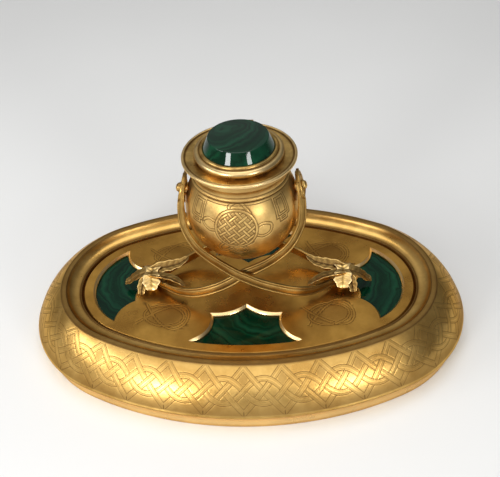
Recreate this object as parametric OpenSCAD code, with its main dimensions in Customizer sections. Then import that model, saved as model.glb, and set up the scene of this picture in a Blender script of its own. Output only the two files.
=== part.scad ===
// Oval desk inkstand: gilt base with malachite plaques, a hanging ink pot in two crossed ribbons
// and a hinged lid with a malachite disc. Millimetres, +Z up, origin at the middle of the foot.

/* [Base] */
// length of the oval over its widest line
base_l = 300; // [260:1:340]
// depth of the oval over its widest line
base_w = 200; // [180:1:220]
// radius of the two end arcs of the widest line
end_r = 84; // [80:1:90]
// height of the flat rim above the table
rim_z = 40; // [34:0.5:46]
// height of the widest line above the table
belt_z = 14; // [10:0.5:18]
// how far the foot stands in from the widest line
foot_in = 4; // [2:0.5:6]
// how far the rim's outer edge stands in from the widest line
rim_in = 20.2; // [18:0.1:23]
// bulge of the engraved band outside its chord
band_sag = 2.4; // [0:0.1:4]
// flat width of the rim
rim_flat = 4; // [3:0.1:6]

/* [Deck] */
// top of the deck plate
deck_z = 34; // [30:0.5:36]
// thickness of the deck plate
deck_t = 3; // [2:0.5:4]
// how far the deck's edge stands in from the widest line
deck_in = 34.5; // [33:0.1:36]
// how far the outer edges of the windows stand in from the widest line
window_in = 43.5; // [42:0.1:46]
// thickness of the malachite slabs
slab_t = 3; // [2:0.5:4]
// how far a slab reaches under the deck round its window
slab_lap = 2; // [1:0.1:3]
// thickness of the backing plates
backing_t = 1.5; // [1:0.1:2]

/* [Pot] */
// lowest point of the pot
pot_z = 66.8; // [62:0.2:72]
// widest radius of the pot
pot_r = 36.2; // [32:0.2:38]
// height of the widest line of the pot
pot_belt_z = 105; // [98:0.5:112]
// top of the pot's body, under the collar
pot_top_z = 126.7; // [123:0.1:130]
// radius of the pot's neck, under the collar
neck_r = 29.3; // [27:0.1:32]
// wall of the pot
pot_wall = 2.2; // [1.5:0.1:3]
// top of the collar
collar_z = 139.8; // [137:0.1:142]
// radius of the opening in the collar
collar_bore = 23; // [20:0.5:26]

/* [Ribbons] */
// width of a ribbon
ribbon_w = 7; // [5:0.1:9]
// thickness of a ribbon
ribbon_t = 2; // [1.5:0.1:3]
// radius of a ribbon's arch at the side of the pot
arch_r = 9.6; // [9:0.1:12]
// lean of the arches towards the pot
arch_lean = 15; // [10:1:20]
// distance of the leaves from the middle
leaf_x = 66; // [60:1:70]

/* [Lid] */
// radius of the lid's plate
lid_r = 35.4; // [33:0.1:38]
// radius of the malachite disc
stone_r = 22; // [20:0.1:24]
// radius of the disc's top edge
stone_top_r = 18.4; // [17:0.1:21]
// height of the disc's top edge
stone_edge_z = 154.6; // [152:0.1:157]
// rise of the domed top of the disc
stone_dome = 1.4; // [0:0.1:3]

/* [Hinge] */
// distance of the hinge axis behind the middle
hinge_y = 38.2; // [37:0.1:40]
// height of the hinge axis
hinge_z = 139.2; // [138:0.1:141]
// radius of the knuckles
knuckle_r = 2.4; // [2:0.1:3]
// radius of the hinge pin
pin_r = 1.25; // [1:0.05:1.5]

/* [Hidden] */
gold = [0.80, 0.60, 0.26];
brass = [0.72, 0.58, 0.30];
malachite = [0.02, 0.30, 0.20];
glass = [0.85, 0.92, 0.90, 0.6];
steel = [0.60, 0.60, 0.62];
// radial clearance of shanks in their bores, and gap between the sides of the knuckles
fit = 0.05;
play = 0.3;

// ---------- the oval: two end arcs and two side arcs with shared tangents ----------
end_x = base_l / 2 - end_r;
side_r = (end_x * end_x + base_w * base_w / 4 - end_r * end_r) / (base_w - 2 * end_r);
side_y = side_r - base_w / 2;
// wedges that meet on the lines through the arcs' centres
end_wedge = [[end_x, 0], [2 * end_x, side_y], [base_l, side_y], [base_l, -side_y], [2 * end_x, -side_y]];
side_wedge = [[-end_x, 0], [end_x, 0], [2 * end_x, side_y], [-2 * end_x, side_y]];

// sweeps a profile, drawn with x = distance outside the widest line, round the oval
module oval_sweep() {
  tall = 2 * rim_z;
  for (turn = [0, 180]) rotate([0, 0, turn]) {
    intersection() {
      translate([end_x, 0, 0]) rotate_extrude($fn = 180) translate([end_r, 0]) children();
      translate([0, 0, -1]) linear_extrude(tall) polygon(end_wedge);
    }
    intersection() {
      translate([0, -side_y, 0]) rotate_extrude($fn = 360) translate([side_r, 0]) children();
      translate([0, 0, -1]) linear_extrude(tall) polygon(side_wedge);
    }
  }
}

// the oval's outline, its edge off outside the widest line
module oval_shape(off) {
  for (turn = [0, 180]) rotate([0, 0, turn]) {
    intersection() {
      translate([end_x, 0]) circle(r = end_r + off, $fn = 180);
      polygon(end_wedge);
    }
    intersection() {
      translate([0, -side_y]) circle(r = side_r + off, $fn = 360);
      polygon(side_wedge);
    }
  }
}

// ---------- base border ----------
ledge_in = 39.5;
ledge_t = 3;
ledge_z = deck_z - deck_t;
lip_in = deck_in - 0.3;
cove_top = [-rim_in - rim_flat - 0.6, rim_z - 0.6];
cove_low = [-lip_in + 1.4, deck_z + 0.6];

// circle through p and q that bulges by sag to the right of the way from p to q (left if negative)
function chord(p, q) = norm(q - p);
function arc_r(p, q, sag) = (chord(p, q) * chord(p, q) / 4 + sag * sag) / (2 * abs(sag));
function arc_c(p, q, sag) = let(d = (q - p) / chord(p, q), r = arc_r(p, q, sag))
  (p + q) / 2 + sign(sag) * (r - abs(sag)) * [-d[1], d[0]];
function arc_pts(p, q, sag, n) = let(c = arc_c(p, q, sag), r = arc_r(p, q, sag),
  a0 = atan2(p[1] - c[1], p[0] - c[0]), a1 = atan2(q[1] - c[1], q[0] - c[0]),
  turn = a1 - a0 > 180 ? a1 - a0 - 360 : (a1 - a0 < -180 ? a1 - a0 + 360 : a1 - a0))
  [for (i = [0:n]) c + r * [cos(a0 + turn * i / n), sin(a0 + turn * i / n)]];

band_low = [-0.5, belt_z + 0.8];
band_top = [-rim_in, rim_z - 0.7];

border_wall = 4.2;
rim_edge = rim_in + 0.7;
rim_under = rim_z - 4.6;

// the plinth strip under the widest line
module foot_profile() {
  polygon(concat(
    [[-foot_in, 0], [-foot_in, 1.6]],
    arc_pts([-foot_in + 0.5, 2.2], [-0.6, belt_z - 1.4], -0.9, 6),
    [[0, belt_z - 0.8], [0, belt_z], [-border_wall, belt_z], [-border_wall, belt_z - 2],
     [-foot_in - 4, 3], [-foot_in - 4, 0]]));
}

// the sloped, engraved band
module band_profile() {
  polygon(concat(
    [[-border_wall, belt_z], [0, belt_z]],
    arc_pts(band_low, band_top, band_sag, 12),
    [[-rim_edge, rim_z], [-rim_edge, rim_under], [-border_wall, belt_z + 2]]));
}

// the flat rim, the cove inside it, the lip round the deck and the ledge under the deck
module rim_profile() {
  polygon(concat(
    [[-rim_edge, rim_z], [-rim_in - rim_flat, rim_z]],
    arc_pts(cove_top, cove_low, -1.5, 8),
    [[-lip_in + 1.0, deck_z + 1.1], [-lip_in + 0.3, deck_z + 1.1], [-lip_in, deck_z + 0.6],
     [-lip_in, ledge_z], [-ledge_in, ledge_z], [-ledge_in, ledge_z - ledge_t],
     [-lip_in - 0.5, ledge_z - ledge_t], [-rim_in - rim_flat - 1, rim_under],
     [-rim_edge, rim_under]]));
}

// places a child at the eight fixing points on the border's ledge
module at_deck_screws() {
  on_end = end_r - 36.9;
  on_side = side_r - 36.9;
  for (turn = [0, 180]) rotate([0, 0, turn]) {
    for (a = [-24, 24]) translate([end_x + on_end * cos(a), on_end * sin(a), 0]) children();
    for (a = [78, 102]) translate([on_side * cos(a), on_side * sin(a) - side_y, 0]) children();
  }
}

module base_foot() {
  color(gold) oval_sweep() foot_profile();
}

module base_band() {
  color(gold) oval_sweep() band_profile();
}

module base_rim() {
  color(gold) difference() {
    oval_sweep() rim_profile();
    at_deck_screws() translate([0, 0, ledge_z - ledge_t - 1])
      cylinder(r = 1 + fit, h = ledge_t + 2, $fn = 32);
  }
}

module deck_screws() {
  color(brass) at_deck_screws() {
    translate([0, 0, ledge_z - ledge_t]) cylinder(r = 1, h = ledge_t + deck_t - 1.2, $fn = 32);
    translate([0, 0, ledge_z - ledge_t - 1.3]) difference() {
      cylinder(r = 2, h = 1.3, $fn = 32);
      translate([-3, -0.25, -1]) cube([6, 0.5, 1.6]);
    }
  }
}

// ---------- windows in the deck, slabs and backings ----------
side_peak = [73.5, 0];
side_cusp = [77, 15.4];
side_lobe = [67.5, 35];
side_lobe_r = 21.7;
front_peak = [0, -22.6];
front_cusp = [22.4, -30.4];
front_lobe = [41.8, -35];
front_lobe_r = 19.8;

// end window, its edge moved out by grow
module side_window(grow) {
  shoulder = arc_c(side_peak, side_cusp, 2.2);
  shoulder_r = arc_r(side_peak, side_cusp, 2.2);
  difference() {
    intersection() {
      translate([end_x, 0]) circle(r = end_r - window_in + grow, $fn = 120);
      polygon([side_peak - [grow, 0], side_cusp - [grow, 0], [95, 40], [125, 40],
               [125, -40], [95, -40], [side_cusp[0] - grow, -side_cusp[1]]]);
    }
    for (s = [-1, 1]) {
      translate([side_lobe[0], s * side_lobe[1]]) circle(r = side_lobe_r - grow, $fn = 90);
      translate([shoulder[0], s * shoulder[1]]) circle(r = shoulder_r - grow, $fn = 90);
    }
  }
}

// long-side window, its edge moved out by grow
module front_window(grow) {
  shoulder = arc_c(front_peak, front_cusp, 2.5);
  shoulder_r = arc_r(front_peak, front_cusp, 2.5);
  difference() {
    intersection() {
      translate([0, side_y]) circle(r = side_r - window_in + grow, $fn = 360);
      polygon([front_peak + [0, grow], front_cusp + [0, grow], [45, -60], [45, -70],
               [-45, -70], [-45, -60], [-front_cusp[0], front_cusp[1] + grow]]);
    }
    for (s = [-1, 1]) {
      translate([s * front_lobe[0], front_lobe[1]]) circle(r = front_lobe_r - grow, $fn = 90);
      translate([s * shoulder[0], shoulder[1]]) circle(r = shoulder_r - grow, $fn = 90);
    }
  }
}

module at_side_screws() {
  for (s = [-1, 1]) {
    translate([77.5, s * 26.5, 0]) children();
    translate([66, s * 11.5, 0]) children();
  }
}

module at_front_screws() {
  for (s = [-1, 1]) {
    translate([s * 32.5, -40, 0]) children();
    translate([s * 12.5, -20, 0]) children();
  }
}

slab_z = ledge_z - slab_t;
backing_z = slab_z - backing_t;

module deck_plate() {
  boss_r = 2.6;
  color(gold) difference() {
    union() {
      translate([0, 0, ledge_z]) linear_extrude(deck_t) oval_shape(-deck_in);
      for (turn = [0, 180]) rotate([0, 0, turn]) translate([0, 0, slab_z]) {
        at_side_screws() cylinder(r = boss_r, h = slab_t + 1, $fn = 40);
        at_front_screws() cylinder(r = boss_r, h = slab_t + 1, $fn = 40);
      }
    }
    for (turn = [0, 180]) rotate([0, 0, turn]) {
      translate([0, 0, ledge_z - 1]) linear_extrude(deck_t + 2) side_window(0);
      translate([0, 0, ledge_z - 1]) linear_extrude(deck_t + 2) front_window(0);
      translate([0, 0, slab_z - 1]) {
        at_side_screws() cylinder(r = 0.9 + fit, h = slab_t + 2.4, $fn = 32);
        at_front_screws() cylinder(r = 0.9 + fit, h = slab_t + 2.4, $fn = 32);
      }
      translate([leaf_x, 0, ledge_z - 1]) cylinder(r = stud_r + fit, h = deck_t + 2, $fn = 40);
    }
    at_deck_screws() translate([0, 0, ledge_z - 1]) cylinder(r = 1 + fit, h = deck_t, $fn = 32);
  }
}

module plaque_side() {
  color(malachite) translate([0, 0, slab_z]) linear_extrude(slab_t) side_window(slab_lap);
}

module plaque_long() {
  color(malachite) translate([0, 0, slab_z]) linear_extrude(slab_t) front_window(slab_lap);
}

module plaque_right() { plaque_side(); }
module plaque_left() { rotate([0, 0, 180]) plaque_side(); }
module plaque_front() { plaque_long(); }
module plaque_back() { rotate([0, 0, 180]) plaque_long(); }

module backing_side() {
  color(brass) translate([0, 0, backing_z]) difference() {
    linear_extrude(backing_t) intersection() {
      translate([end_x, 0]) circle(r = end_r - window_in + slab_lap, $fn = 120);
      polygon([[63, 15], [73, 30], [92, 44], [120, 44], [120, -44], [92, -44], [73, -30], [63, -15],
               [63, -8], [72, -6], [72, 6], [63, 8]]);
    }
    at_side_screws() translate([0, 0, -1]) cylinder(r = 0.9 + fit, h = backing_t + 2, $fn = 32);
  }
}

module backing_long() {
  color(brass) translate([0, 0, backing_z]) difference() {
    linear_extrude(backing_t) intersection() {
      translate([0, side_y]) circle(r = side_r - window_in + slab_lap, $fn = 360);
      polygon([[-16, -16.5], [16, -16.5], [37, -36], [42, -70], [-42, -70], [-37, -36]]);
    }
    at_front_screws() translate([0, 0, -1]) cylinder(r = 0.9 + fit, h = backing_t + 2, $fn = 32);
  }
}

module backing_right() { backing_side(); }
module backing_left() { rotate([0, 0, 180]) backing_side(); }
module backing_front() { backing_long(); }
module backing_back() { rotate([0, 0, 180]) backing_long(); }

// small slotted screw that points up from the underside of a backing plate
module backing_screw() {
  translate([0, 0, backing_z]) cylinder(r = 0.9, h = backing_t + slab_t + 1, $fn = 32);
  translate([0, 0, backing_z - 1.2]) difference() {
    cylinder(r = 1.8, h = 1.2, $fn = 32);
    translate([-3, -0.22, -1]) cube([6, 0.44, 1.5]);
  }
}

module backing_screws() {
  color(steel) for (turn = [0, 180]) rotate([0, 0, turn]) {
    at_side_screws() backing_screw();
    at_front_screws() backing_screw();
  }
}

// ---------- ribbons ----------
arch_c = [37.2, 0, 117];
arch_t = ribbon_t + 0.5;
collar_h = 6;
ribbon_end_w = 5.4;
ribbon_end_z = 39.1;
leaf_ring_r = 4.5;
stud_r = 1.45;

// way of a front leg, drawn for the loop on the right, and the way that its face looks
leg_way = [[35.4, -4.4, 123.5], [37.3, -7.8, 115.6], [37.8, -11.2, 106.7], [36.4, -15.2, 96.5],
  [30.1, -19.8, 85.2], [20.3, -22.3, 76.1], [8.5, -22.2, 66.5], [-1.3, -22.4, 60.8],
  [-11.5, -22.8, 54.6], [-23.3, -22.6, 49.3], [-34.3, -20.6, 44.9], [-45, -15.8, 41.4],
  [-54.3, -9.2, 39.8], [-63, -2.4, 39.1]];
leg_face = [[0.966, 0, 0.26], [0.9, -0.36, 0.24], [0.76, -0.62, 0.18], [0.68, -0.72, 0.12],
  [0.56, -0.82, 0.12], [0.36, -0.92, 0.14], [0.16, -0.97, 0.16], [0, -0.97, 0.18],
  [-0.03, -0.97, 0.22], [-0.06, -0.96, 0.26], [-0.2, -0.94, 0.24], [-0.4, -0.9, 0.16],
  [-0.6, -0.8, 0.05], [-0.7, -0.7, 0]];
leg_steps = 4;
pass_gap = 2.05;

function unit(v) = v / norm(v);
function catmull(a, b, c, d, t) = 0.5 * (2 * b + (c - a) * t + (2 * a - 5 * b + 4 * c - d) * t * t
  + (3 * b - a - 3 * c + d) * t * t * t);
function pick(v, i) = v[max(0, min(len(v) - 1, i))];
function along(v, s) = let(i = min(floor(s), len(v) - 2), t = s - i)
  catmull(pick(v, i - 1), pick(v, i), pick(v, i + 1), pick(v, i + 2), t);

// section of a ribbon in half widths and thicknesses: flat back, raised edges and a middle rib
rib = 0.35;
ribbon_section = [[-1, 0], [1, 0], [1, 1], [0.66, 1], [0.4, 1 - rib], [0, 1 - rib / 3], [-0.4, 1 - rib],
  [-0.66, 1], [-1, 1]];

function frame_at(s) = let(t = unit(along(leg_way, s + 0.05) - along(leg_way, s - 0.05)),
  f0 = along(leg_face, s), f = unit(f0 - (f0 * t) * t)) [t, f, cross(t, f)];
// the loop that passes outside the other at the crossing is moved out there, the other in
function spread(p, out) = p + [0, -pass_gap * out * exp(-pow(p[0] / 13, 2)), 0];
// a leg is narrower over its last part, where it runs in under the leaf
function leg_w(s) = ribbon_end_w + (ribbon_w - ribbon_end_w) * max(0, min(1, (12.6 - s) / 2.4));
function ring_at(s, out) = let(fr = frame_at(s), p = spread(along(leg_way, s), out))
  [for (q = ribbon_section) p + fr[2] * q[0] * leg_w(s) / 2 + fr[1] * (q[1] - 0.5) * ribbon_t];

// joins rings of points into one closed solid
module skin(rings) {
  m = len(rings[0]);
  k = len(rings);
  polyhedron(points = [for (r = rings) each r], faces = concat(
    [[for (i = [m - 1:-1:0]) i]],
    [[for (i = [0:m - 1]) (k - 1) * m + i]],
    [for (j = [0:k - 2], i = [0:m - 1]) each let(a = j * m + i, b = j * m + (i + 1) % m)
      [[a, b, b + m], [a, b + m, a + m]]]));
}

module ribbon_leg(out) {
  last = (len(leg_way) - 1) * leg_steps;
  skin([for (i = [0:last]) ring_at(max(0.06, min(len(leg_way) - 1.06, i / leg_steps)), out)]);
}

// stands a child on the arch's middle with +Z along its face, for the loop on the right
module at_arch() {
  translate(arch_c) rotate([0, 90 - arch_lean, 0]) children();
}

module ribbon(out) {
  difference() {
    union() {
      for (s = [0, 1]) mirror([0, s, 0]) ribbon_leg(out);
      at_arch() translate([0, 0, -arch_t / 2]) difference() {
        cylinder(r = arch_r, h = arch_t, $fn = 96);
        translate([arch_r, 0, -1]) cylinder(r = 5, h = arch_t + 2, $fn = 60);
      }
      translate([-leaf_x, 0, ribbon_end_z - collar_h / 2])
        cylinder(r = leaf_ring_r, h = collar_h, $fn = 60);
    }
    at_arch() translate([0, 0, -3]) cylinder(r = stud_r + fit, h = 6, $fn = 40);
    translate([-leaf_x, 0, ribbon_end_z - collar_h / 2 - 1])
      cylinder(r = stud_r + fit, h = collar_h + 2, $fn = 40);
  }
}

module ribbon_right() { color(gold) ribbon(-1); }
module ribbon_left() { color(gold) mirror([1, 0, 0]) ribbon(1); }

// ---------- side studs ----------
lug_l = 8.2;

module handle_stud() {
  at_arch() {
    translate([0, 0, arch_t / 2]) rotate_extrude($fn = 60) polygon(concat([[0, 0], [3.3, 0], [3.4, 0.7]],
      [for (a = [0:15:90]) [3.1 * cos(a), 0.9 + 1.9 * sin(a)]]));
    translate([0, 0, 2.2 - lug_l]) cylinder(r = stud_r, h = lug_l, $fn = 40);
  }
}

module handle_studs() {
  color(gold) for (s = [0, 1]) mirror([s, 0, 0]) handle_stud();
}

// ---------- leaves and their fixings ----------
// one lobe: a body of oval section along way, with its half width (along side) and half
// thickness given at each point of way
lobe_steps = 3;
function lobe_ring(way, size, side, s) = let(t = unit(along(way, s + 0.05) - along(way, s - 0.05)),
  wide = unit(side - (side * t) * t), up = cross(wide, t), half = along(size, s))
  [for (a = [0:36:359]) along(way, s) + wide * half[0] * cos(a) + up * half[1] * sin(a)];

module lobe(way, size, side) {
  last = (len(way) - 1) * lobe_steps;
  skin([for (i = [0:last]) lobe_ring(way, size, side, max(0.06, min(len(way) - 1.06, i / lobe_steps)))]);
}

leaf_seat_z = ribbon_end_z + collar_h / 2;

// leaf over the strap ends at the right, with lobes towards the pot, outwards and down both sides
module leaf() {
  difference() {
    union() {
      for (s = [0, 1]) mirror([0, s, 0]) {
        // towards the pot, cupped, with a raised tip
        lobe([[68, -1, 43.8], [61, -4.4, 45.1], [53, -6.8, 45.2], [46.5, -9.4, 44.9], [41, -12.8, 46.4]],
             [[3.4, 1.3], [4.2, 1.1], [4.1, 1.0], [3.0, 0.9], [1.1, 0.7]], [0.35, -0.85, 0.3]);
        // over the side, with a small point beside it
        lobe([[66, 1, 43.8], [65.6, -4.6, 44.5], [65.2, -8.6, 43], [65, -11.2, 39.6]],
             [[3.6, 1.4], [5.2, 1.2], [5.4, 1.1], [3.8, 0.9]], [1, 0, 0]);
        lobe([[68, -3, 44], [69.8, -8, 43], [70.3, -11.6, 40], [70.4, -14.2, 36.6]],
             [[2.6, 1.2], [2.6, 1.1], [1.9, 0.9], [0.7, 0.6]], [1, 0.2, 0]);
      }
      // outwards, down to the plaque's edge
      lobe([[64, 0, 43.8], [71, 0, 43.8], [77, 0, 41], [82, 0, 37.2], [85.8, 0, 35.6]],
           [[3.6, 1.4], [4.8, 1.2], [5.0, 1.1], [4.2, 1.0], [2.0, 0.7]], [0, 1, 0]);
      translate([leaf_x, 0, leaf_seat_z]) cylinder(r1 = 4.4, r2 = 3.8, h = 3.4, $fn = 48);
    }
    translate([leaf_x, 0, leaf_seat_z - 1]) cylinder(r = stud_r + fit, h = 3.4, $fn = 40);
    translate([leaf_x, 0, leaf_seat_z - 8]) cylinder(r = leaf_ring_r + 0.5, h = 8, $fn = 60);
  }
}

module leaf_right() { color(gold) leaf(); }
module leaf_left() { color(gold) rotate([0, 0, 180]) leaf(); }

module leaf_spacers() {
  color(gold) for (s = [-1, 1]) translate([s * leaf_x, 0, deck_z]) difference() {
    cylinder(r = 3.8, h = leaf_seat_z - collar_h - deck_z, $fn = 48);
    translate([0, 0, -1]) cylinder(r = stud_r + fit, h = 9, $fn = 40);
  }
}

washer_t = 0.6;
nut_h = 2.4;

module leaf_studs() {
  low = ledge_z - washer_t - nut_h - 1;
  color(brass) for (s = [-1, 1]) translate([s * leaf_x, 0, low])
    cylinder(r = stud_r, h = leaf_seat_z + 2.2 - low, $fn = 40);
}

module leaf_washers() {
  color(brass) for (s = [-1, 1]) translate([s * leaf_x, 0, ledge_z - washer_t]) difference() {
    cylinder(r = 3.6, h = washer_t, $fn = 48);
    translate([0, 0, -1]) cylinder(r = stud_r + fit, h = washer_t + 2, $fn = 40);
  }
}

module leaf_nuts() {
  color(brass) for (s = [-1, 1]) translate([s * leaf_x, 0, ledge_z - washer_t - nut_h]) difference() {
    cylinder(r = 3.2, h = nut_h, $fn = 6);
    translate([0, 0, -1]) cylinder(r = stud_r + fit, h = nut_h + 2, $fn = 40);
  }
}

// ---------- pot ----------
function bezier(p, n) = [for (i = [0:n]) let(t = i / n, u = 1 - t)
  u * u * u * p[0] + 3 * u * u * t * p[1] + 3 * u * t * t * p[2] + t * t * t * p[3]];
function drop_last(v) = [for (i = [0:len(v) - 2]) v[i]];

// outline of the pot's body from its lowest point to its top, moved in by off
function pot_outline(off) = concat(
  drop_last(bezier([[0, pot_z + off], [10.9, pot_z + off], [pot_r - off, 78.2 + off / 2],
                    [pot_r - off, pot_belt_z]], 16)),
  bezier([[pot_r - off, pot_belt_z], [pot_r - off, pot_belt_z + 8.5], [33.4 - off, pot_top_z - 5.2],
          [neck_r - off, pot_top_z]], 8));

module pot_body() {
  color(gold) difference() {
    union() {
      rotate_extrude($fn = 120) polygon(concat(pot_outline(0),
        [for (i = [len(pot_outline(pot_wall)) - 1:-1:0]) pot_outline(pot_wall)[i]]));
      for (s = [0, 1]) mirror([s, 0, 0]) at_arch() translate([0, 0, -lug_l])
        cylinder(r = 4.2, h = lug_l - arch_t / 2, $fn = 48);
    }
    for (s = [0, 1]) mirror([s, 0, 0]) at_arch() translate([0, 0, 1.8 - lug_l])
      cylinder(r = stud_r + fit, h = lug_l, $fn = 40);
  }
}

bracket_w = 15.2;
lid_knuckle_w = 6;

module pot_collar() {
  seat = 25.6;
  spigot_r = neck_r - pot_wall - 0.5;
  top_r = neck_r + 1.3;
  block_z = collar_z - 5;
  color(gold) difference() {
    union() {
      // spigot in the pot, bead, hollow neck and seat of the liner
      rotate_extrude($fn = 120) polygon(concat(
        [[collar_bore, pot_top_z - 3.2], [spigot_r, pot_top_z - 3.2], [spigot_r, pot_top_z],
         [neck_r + 0.2, pot_top_z]],
        arc_pts([neck_r + 0.4, pot_top_z + 0.3], [neck_r + 0.5, pot_top_z + 2.5], 0.7, 6),
        arc_pts([neck_r + 0.1, pot_top_z + 3], [top_r, block_z - 0.2], -0.5, 6),
        [[top_r, collar_z - 0.6], [top_r - 0.6, collar_z], [seat, collar_z],
         [seat, collar_z - 1.8], [collar_bore, collar_z - 1.8]]));
      // hinge block on the back with two knuckles
      for (s = [-1, 1]) translate([s * (bracket_w + lid_knuckle_w + 2 * play) / 4, hinge_y, hinge_z])
        rotate([0, 90, 0]) cylinder(r = knuckle_r, h = (bracket_w - lid_knuckle_w - 2 * play) / 2,
                                    center = true, $fn = 60);
      difference() {
        translate([-bracket_w / 2, top_r - 3, block_z])
          cube([bracket_w, hinge_y - top_r + 4.2, 4.2]);
        translate([0, 0, block_z - 1]) cylinder(r = top_r - 0.4, h = 7, $fn = 90);
        translate([-lid_knuckle_w / 2 - play, 33.2, hinge_z - 5])
          cube([lid_knuckle_w + 2 * play, 9, 6]);
      }
    }
    translate([0, hinge_y, hinge_z]) rotate([0, 90, 0])
      cylinder(r = pin_r + fit, h = 30, center = true, $fn = 40);
  }
}

module hinge_pin() {
  color(steel) translate([0, hinge_y, hinge_z]) rotate([0, 90, 0])
    cylinder(r = pin_r, h = bracket_w + 0.8, center = true, $fn = 40);
}

module ink_liner() {
  outer = collar_bore - 0.4;
  low = 92;
  color(glass) rotate_extrude($fn = 120) polygon([[0, low], [outer - 2, low], [outer, low + 2],
    [outer, collar_z - 1.8], [25.3, collar_z - 1.8], [25.3, collar_z - 0.3], [outer - 2, collar_z - 0.3],
    [outer - 2, low + 4], [outer - 4, low + 2.4], [0, low + 2.4]]);
}

// ---------- lid ----------
plate_z = 140;
plate_top = 141.3;

module lid_flange() {
  color(gold) difference() {
    union() {
      rotate_extrude($fn = 144) polygon([[0, plate_z], [lid_r - 1.4, plate_z], [lid_r - 0.3, plate_z + 0.3],
        [lid_r, plate_z + 0.8], [lid_r, plate_z + 1.9], [lid_r - 0.3, plate_z + 2.3],
        [lid_r - 1, plate_z + 2.4], [lid_r - 2.6, plate_z + 2], [lid_r - 5, plate_z + 1.5],
        [28, plate_top], [0, plate_top]]);
      translate([0, hinge_y, hinge_z]) rotate([0, 90, 0])
        cylinder(r = knuckle_r, h = lid_knuckle_w, center = true, $fn = 60);
      translate([-lid_knuckle_w / 2, 31, plate_z]) cube([lid_knuckle_w, hinge_y - 31, 1.5]);
    }
    translate([0, hinge_y, hinge_z]) rotate([0, 90, 0])
      cylinder(r = pin_r + fit, h = 30, center = true, $fn = 40);
    translate([0, 0, plate_z - 1]) cylinder(r = screw_r + fit, h = 4, $fn = 40);
  }
}

screw_r = 1.95;

module lid_ring() {
  seat = stone_r + 0.1;
  color(gold) rotate_extrude($fn = 144) union() {
    polygon([[seat, plate_top], [26.2, plate_top], [25.2, 145.6], [24.3, 146], [23.9, 146.9], [23.3, 147.4],
             [seat, 147.4]]);
    translate([24.8, 143.9]) circle(r = 2.2, $fn = 48);
  }
}

module lid_stone() {
  dome_r = (stone_top_r * stone_top_r + stone_dome * stone_dome) / (2 * stone_dome);
  a = asin(stone_top_r / dome_r);
  color(malachite) difference() {
    rotate_extrude($fn = 144) polygon(concat(
      [[0, plate_top], [stone_r, plate_top], [stone_r, 147.3], [stone_top_r + 0.25, stone_edge_z - 0.5]],
      [for (i = [8:-1:0])
        [dome_r * sin(a * i / 8), stone_edge_z + stone_dome - dome_r * (1 - cos(a * i / 8))]]));
    translate([0, 0, plate_top - 1]) cylinder(r = screw_r + fit, h = 7, $fn = 40);
  }
}

module lid_skirt() {
  r = 19.6;
  color(gold) difference() {
    rotate_extrude($fn = 120) polygon([[0, plate_z - 1.6], [r - 2, plate_z - 1.6], [r - 2, plate_z - 4.4],
      [r - 0.4, plate_z - 4.4], [r, plate_z - 4], [r, plate_z], [0, plate_z]]);
    translate([0, 0, plate_z - 3]) cylinder(r = screw_r + fit, h = 4, $fn = 40);
  }
}

module lid_screw() {
  low = plate_z - 1.6;
  color(brass) {
    translate([0, 0, low]) cylinder(r = screw_r, h = 7.4, $fn = 40);
    translate([0, 0, low - 1.8]) difference() {
      cylinder(r = 3.8, h = 1.8, $fn = 48);
      translate([-5, -0.4, -1]) cube([10, 0.8, 1.8]);
    }
  }
}

base_foot();
base_band();
base_rim();
deck_plate();
plaque_front();
plaque_back();
plaque_left();
plaque_right();
backing_front();
backing_back();
backing_left();
backing_right();
backing_screws();
deck_screws();
ribbon_left();
ribbon_right();
leaf_left();
leaf_right();
leaf_spacers();
leaf_studs();
leaf_washers();
leaf_nuts();
handle_studs();
pot_body();
pot_collar();
ink_liner();
hinge_pin();
lid_flange();
lid_ring();
lid_stone();
lid_skirt();
lid_screw();
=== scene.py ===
from math import asin, atan2, ceil, copysign, cos, pi, radians, sin, sqrt

import bpy
import numpy as np
from mathutils import Matrix, Vector
from mathutils.geometry import delaunay_2d_cdt

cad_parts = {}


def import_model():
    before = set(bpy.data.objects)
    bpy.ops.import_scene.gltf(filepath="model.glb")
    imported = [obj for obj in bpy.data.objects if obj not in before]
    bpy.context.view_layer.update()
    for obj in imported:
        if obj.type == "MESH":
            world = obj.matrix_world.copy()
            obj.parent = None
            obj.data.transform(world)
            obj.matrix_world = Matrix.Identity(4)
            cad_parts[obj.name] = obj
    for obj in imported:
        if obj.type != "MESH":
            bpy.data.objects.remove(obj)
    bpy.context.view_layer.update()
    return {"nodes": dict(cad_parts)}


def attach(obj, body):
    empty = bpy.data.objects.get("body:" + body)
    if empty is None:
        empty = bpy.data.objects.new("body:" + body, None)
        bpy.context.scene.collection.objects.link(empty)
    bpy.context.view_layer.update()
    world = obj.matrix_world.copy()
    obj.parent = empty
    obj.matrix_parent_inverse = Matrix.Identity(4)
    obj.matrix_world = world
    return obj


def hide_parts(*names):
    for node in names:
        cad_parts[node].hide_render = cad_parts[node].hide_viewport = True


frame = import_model()

# ---------------------------------------------------------------- sizes, in mm
MM = 0.001
END_X, END_R, SIDE_R, SIDE_Y = 66.0, 84.0, 228.125, 128.125  # end and side arcs of the oval
JOIN = atan2(SIDE_Y, END_X)  # the direction in which an end arc meets a side arc
RIM_IN, RIM_FLAT, RIM_Z, BELT_Z, FOOT_IN = 20.2, 4.0, 40.0, 14.0, 4.0
DECK_Z, DECK_T, DECK_IN, WINDOW_IN = 34.0, 3.0, 34.5, 43.5
POT_Z, POT_R, POT_BELT, POT_TOP = 66.8, 36.2, 105.0, 126.7
NECK_R, COLLAR_Z, COLLAR_SEAT_Z = 29.3, 139.8, 138.0
RIBBON_W, RIBBON_END_W, RIBBON_T, RIBBON_END_Z = 7.0, 5.4, 2.0, 39.1
PASS_GAP = 2.05  # how far each ribbon gives way where the two cross
ARCH_R, ARCH_T, ARCH_LEAN, LUG_L = 9.6, 2.5, 15.0, 8.2
ARCH_C = np.array([37.2, 0.0, 117.0])
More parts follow.
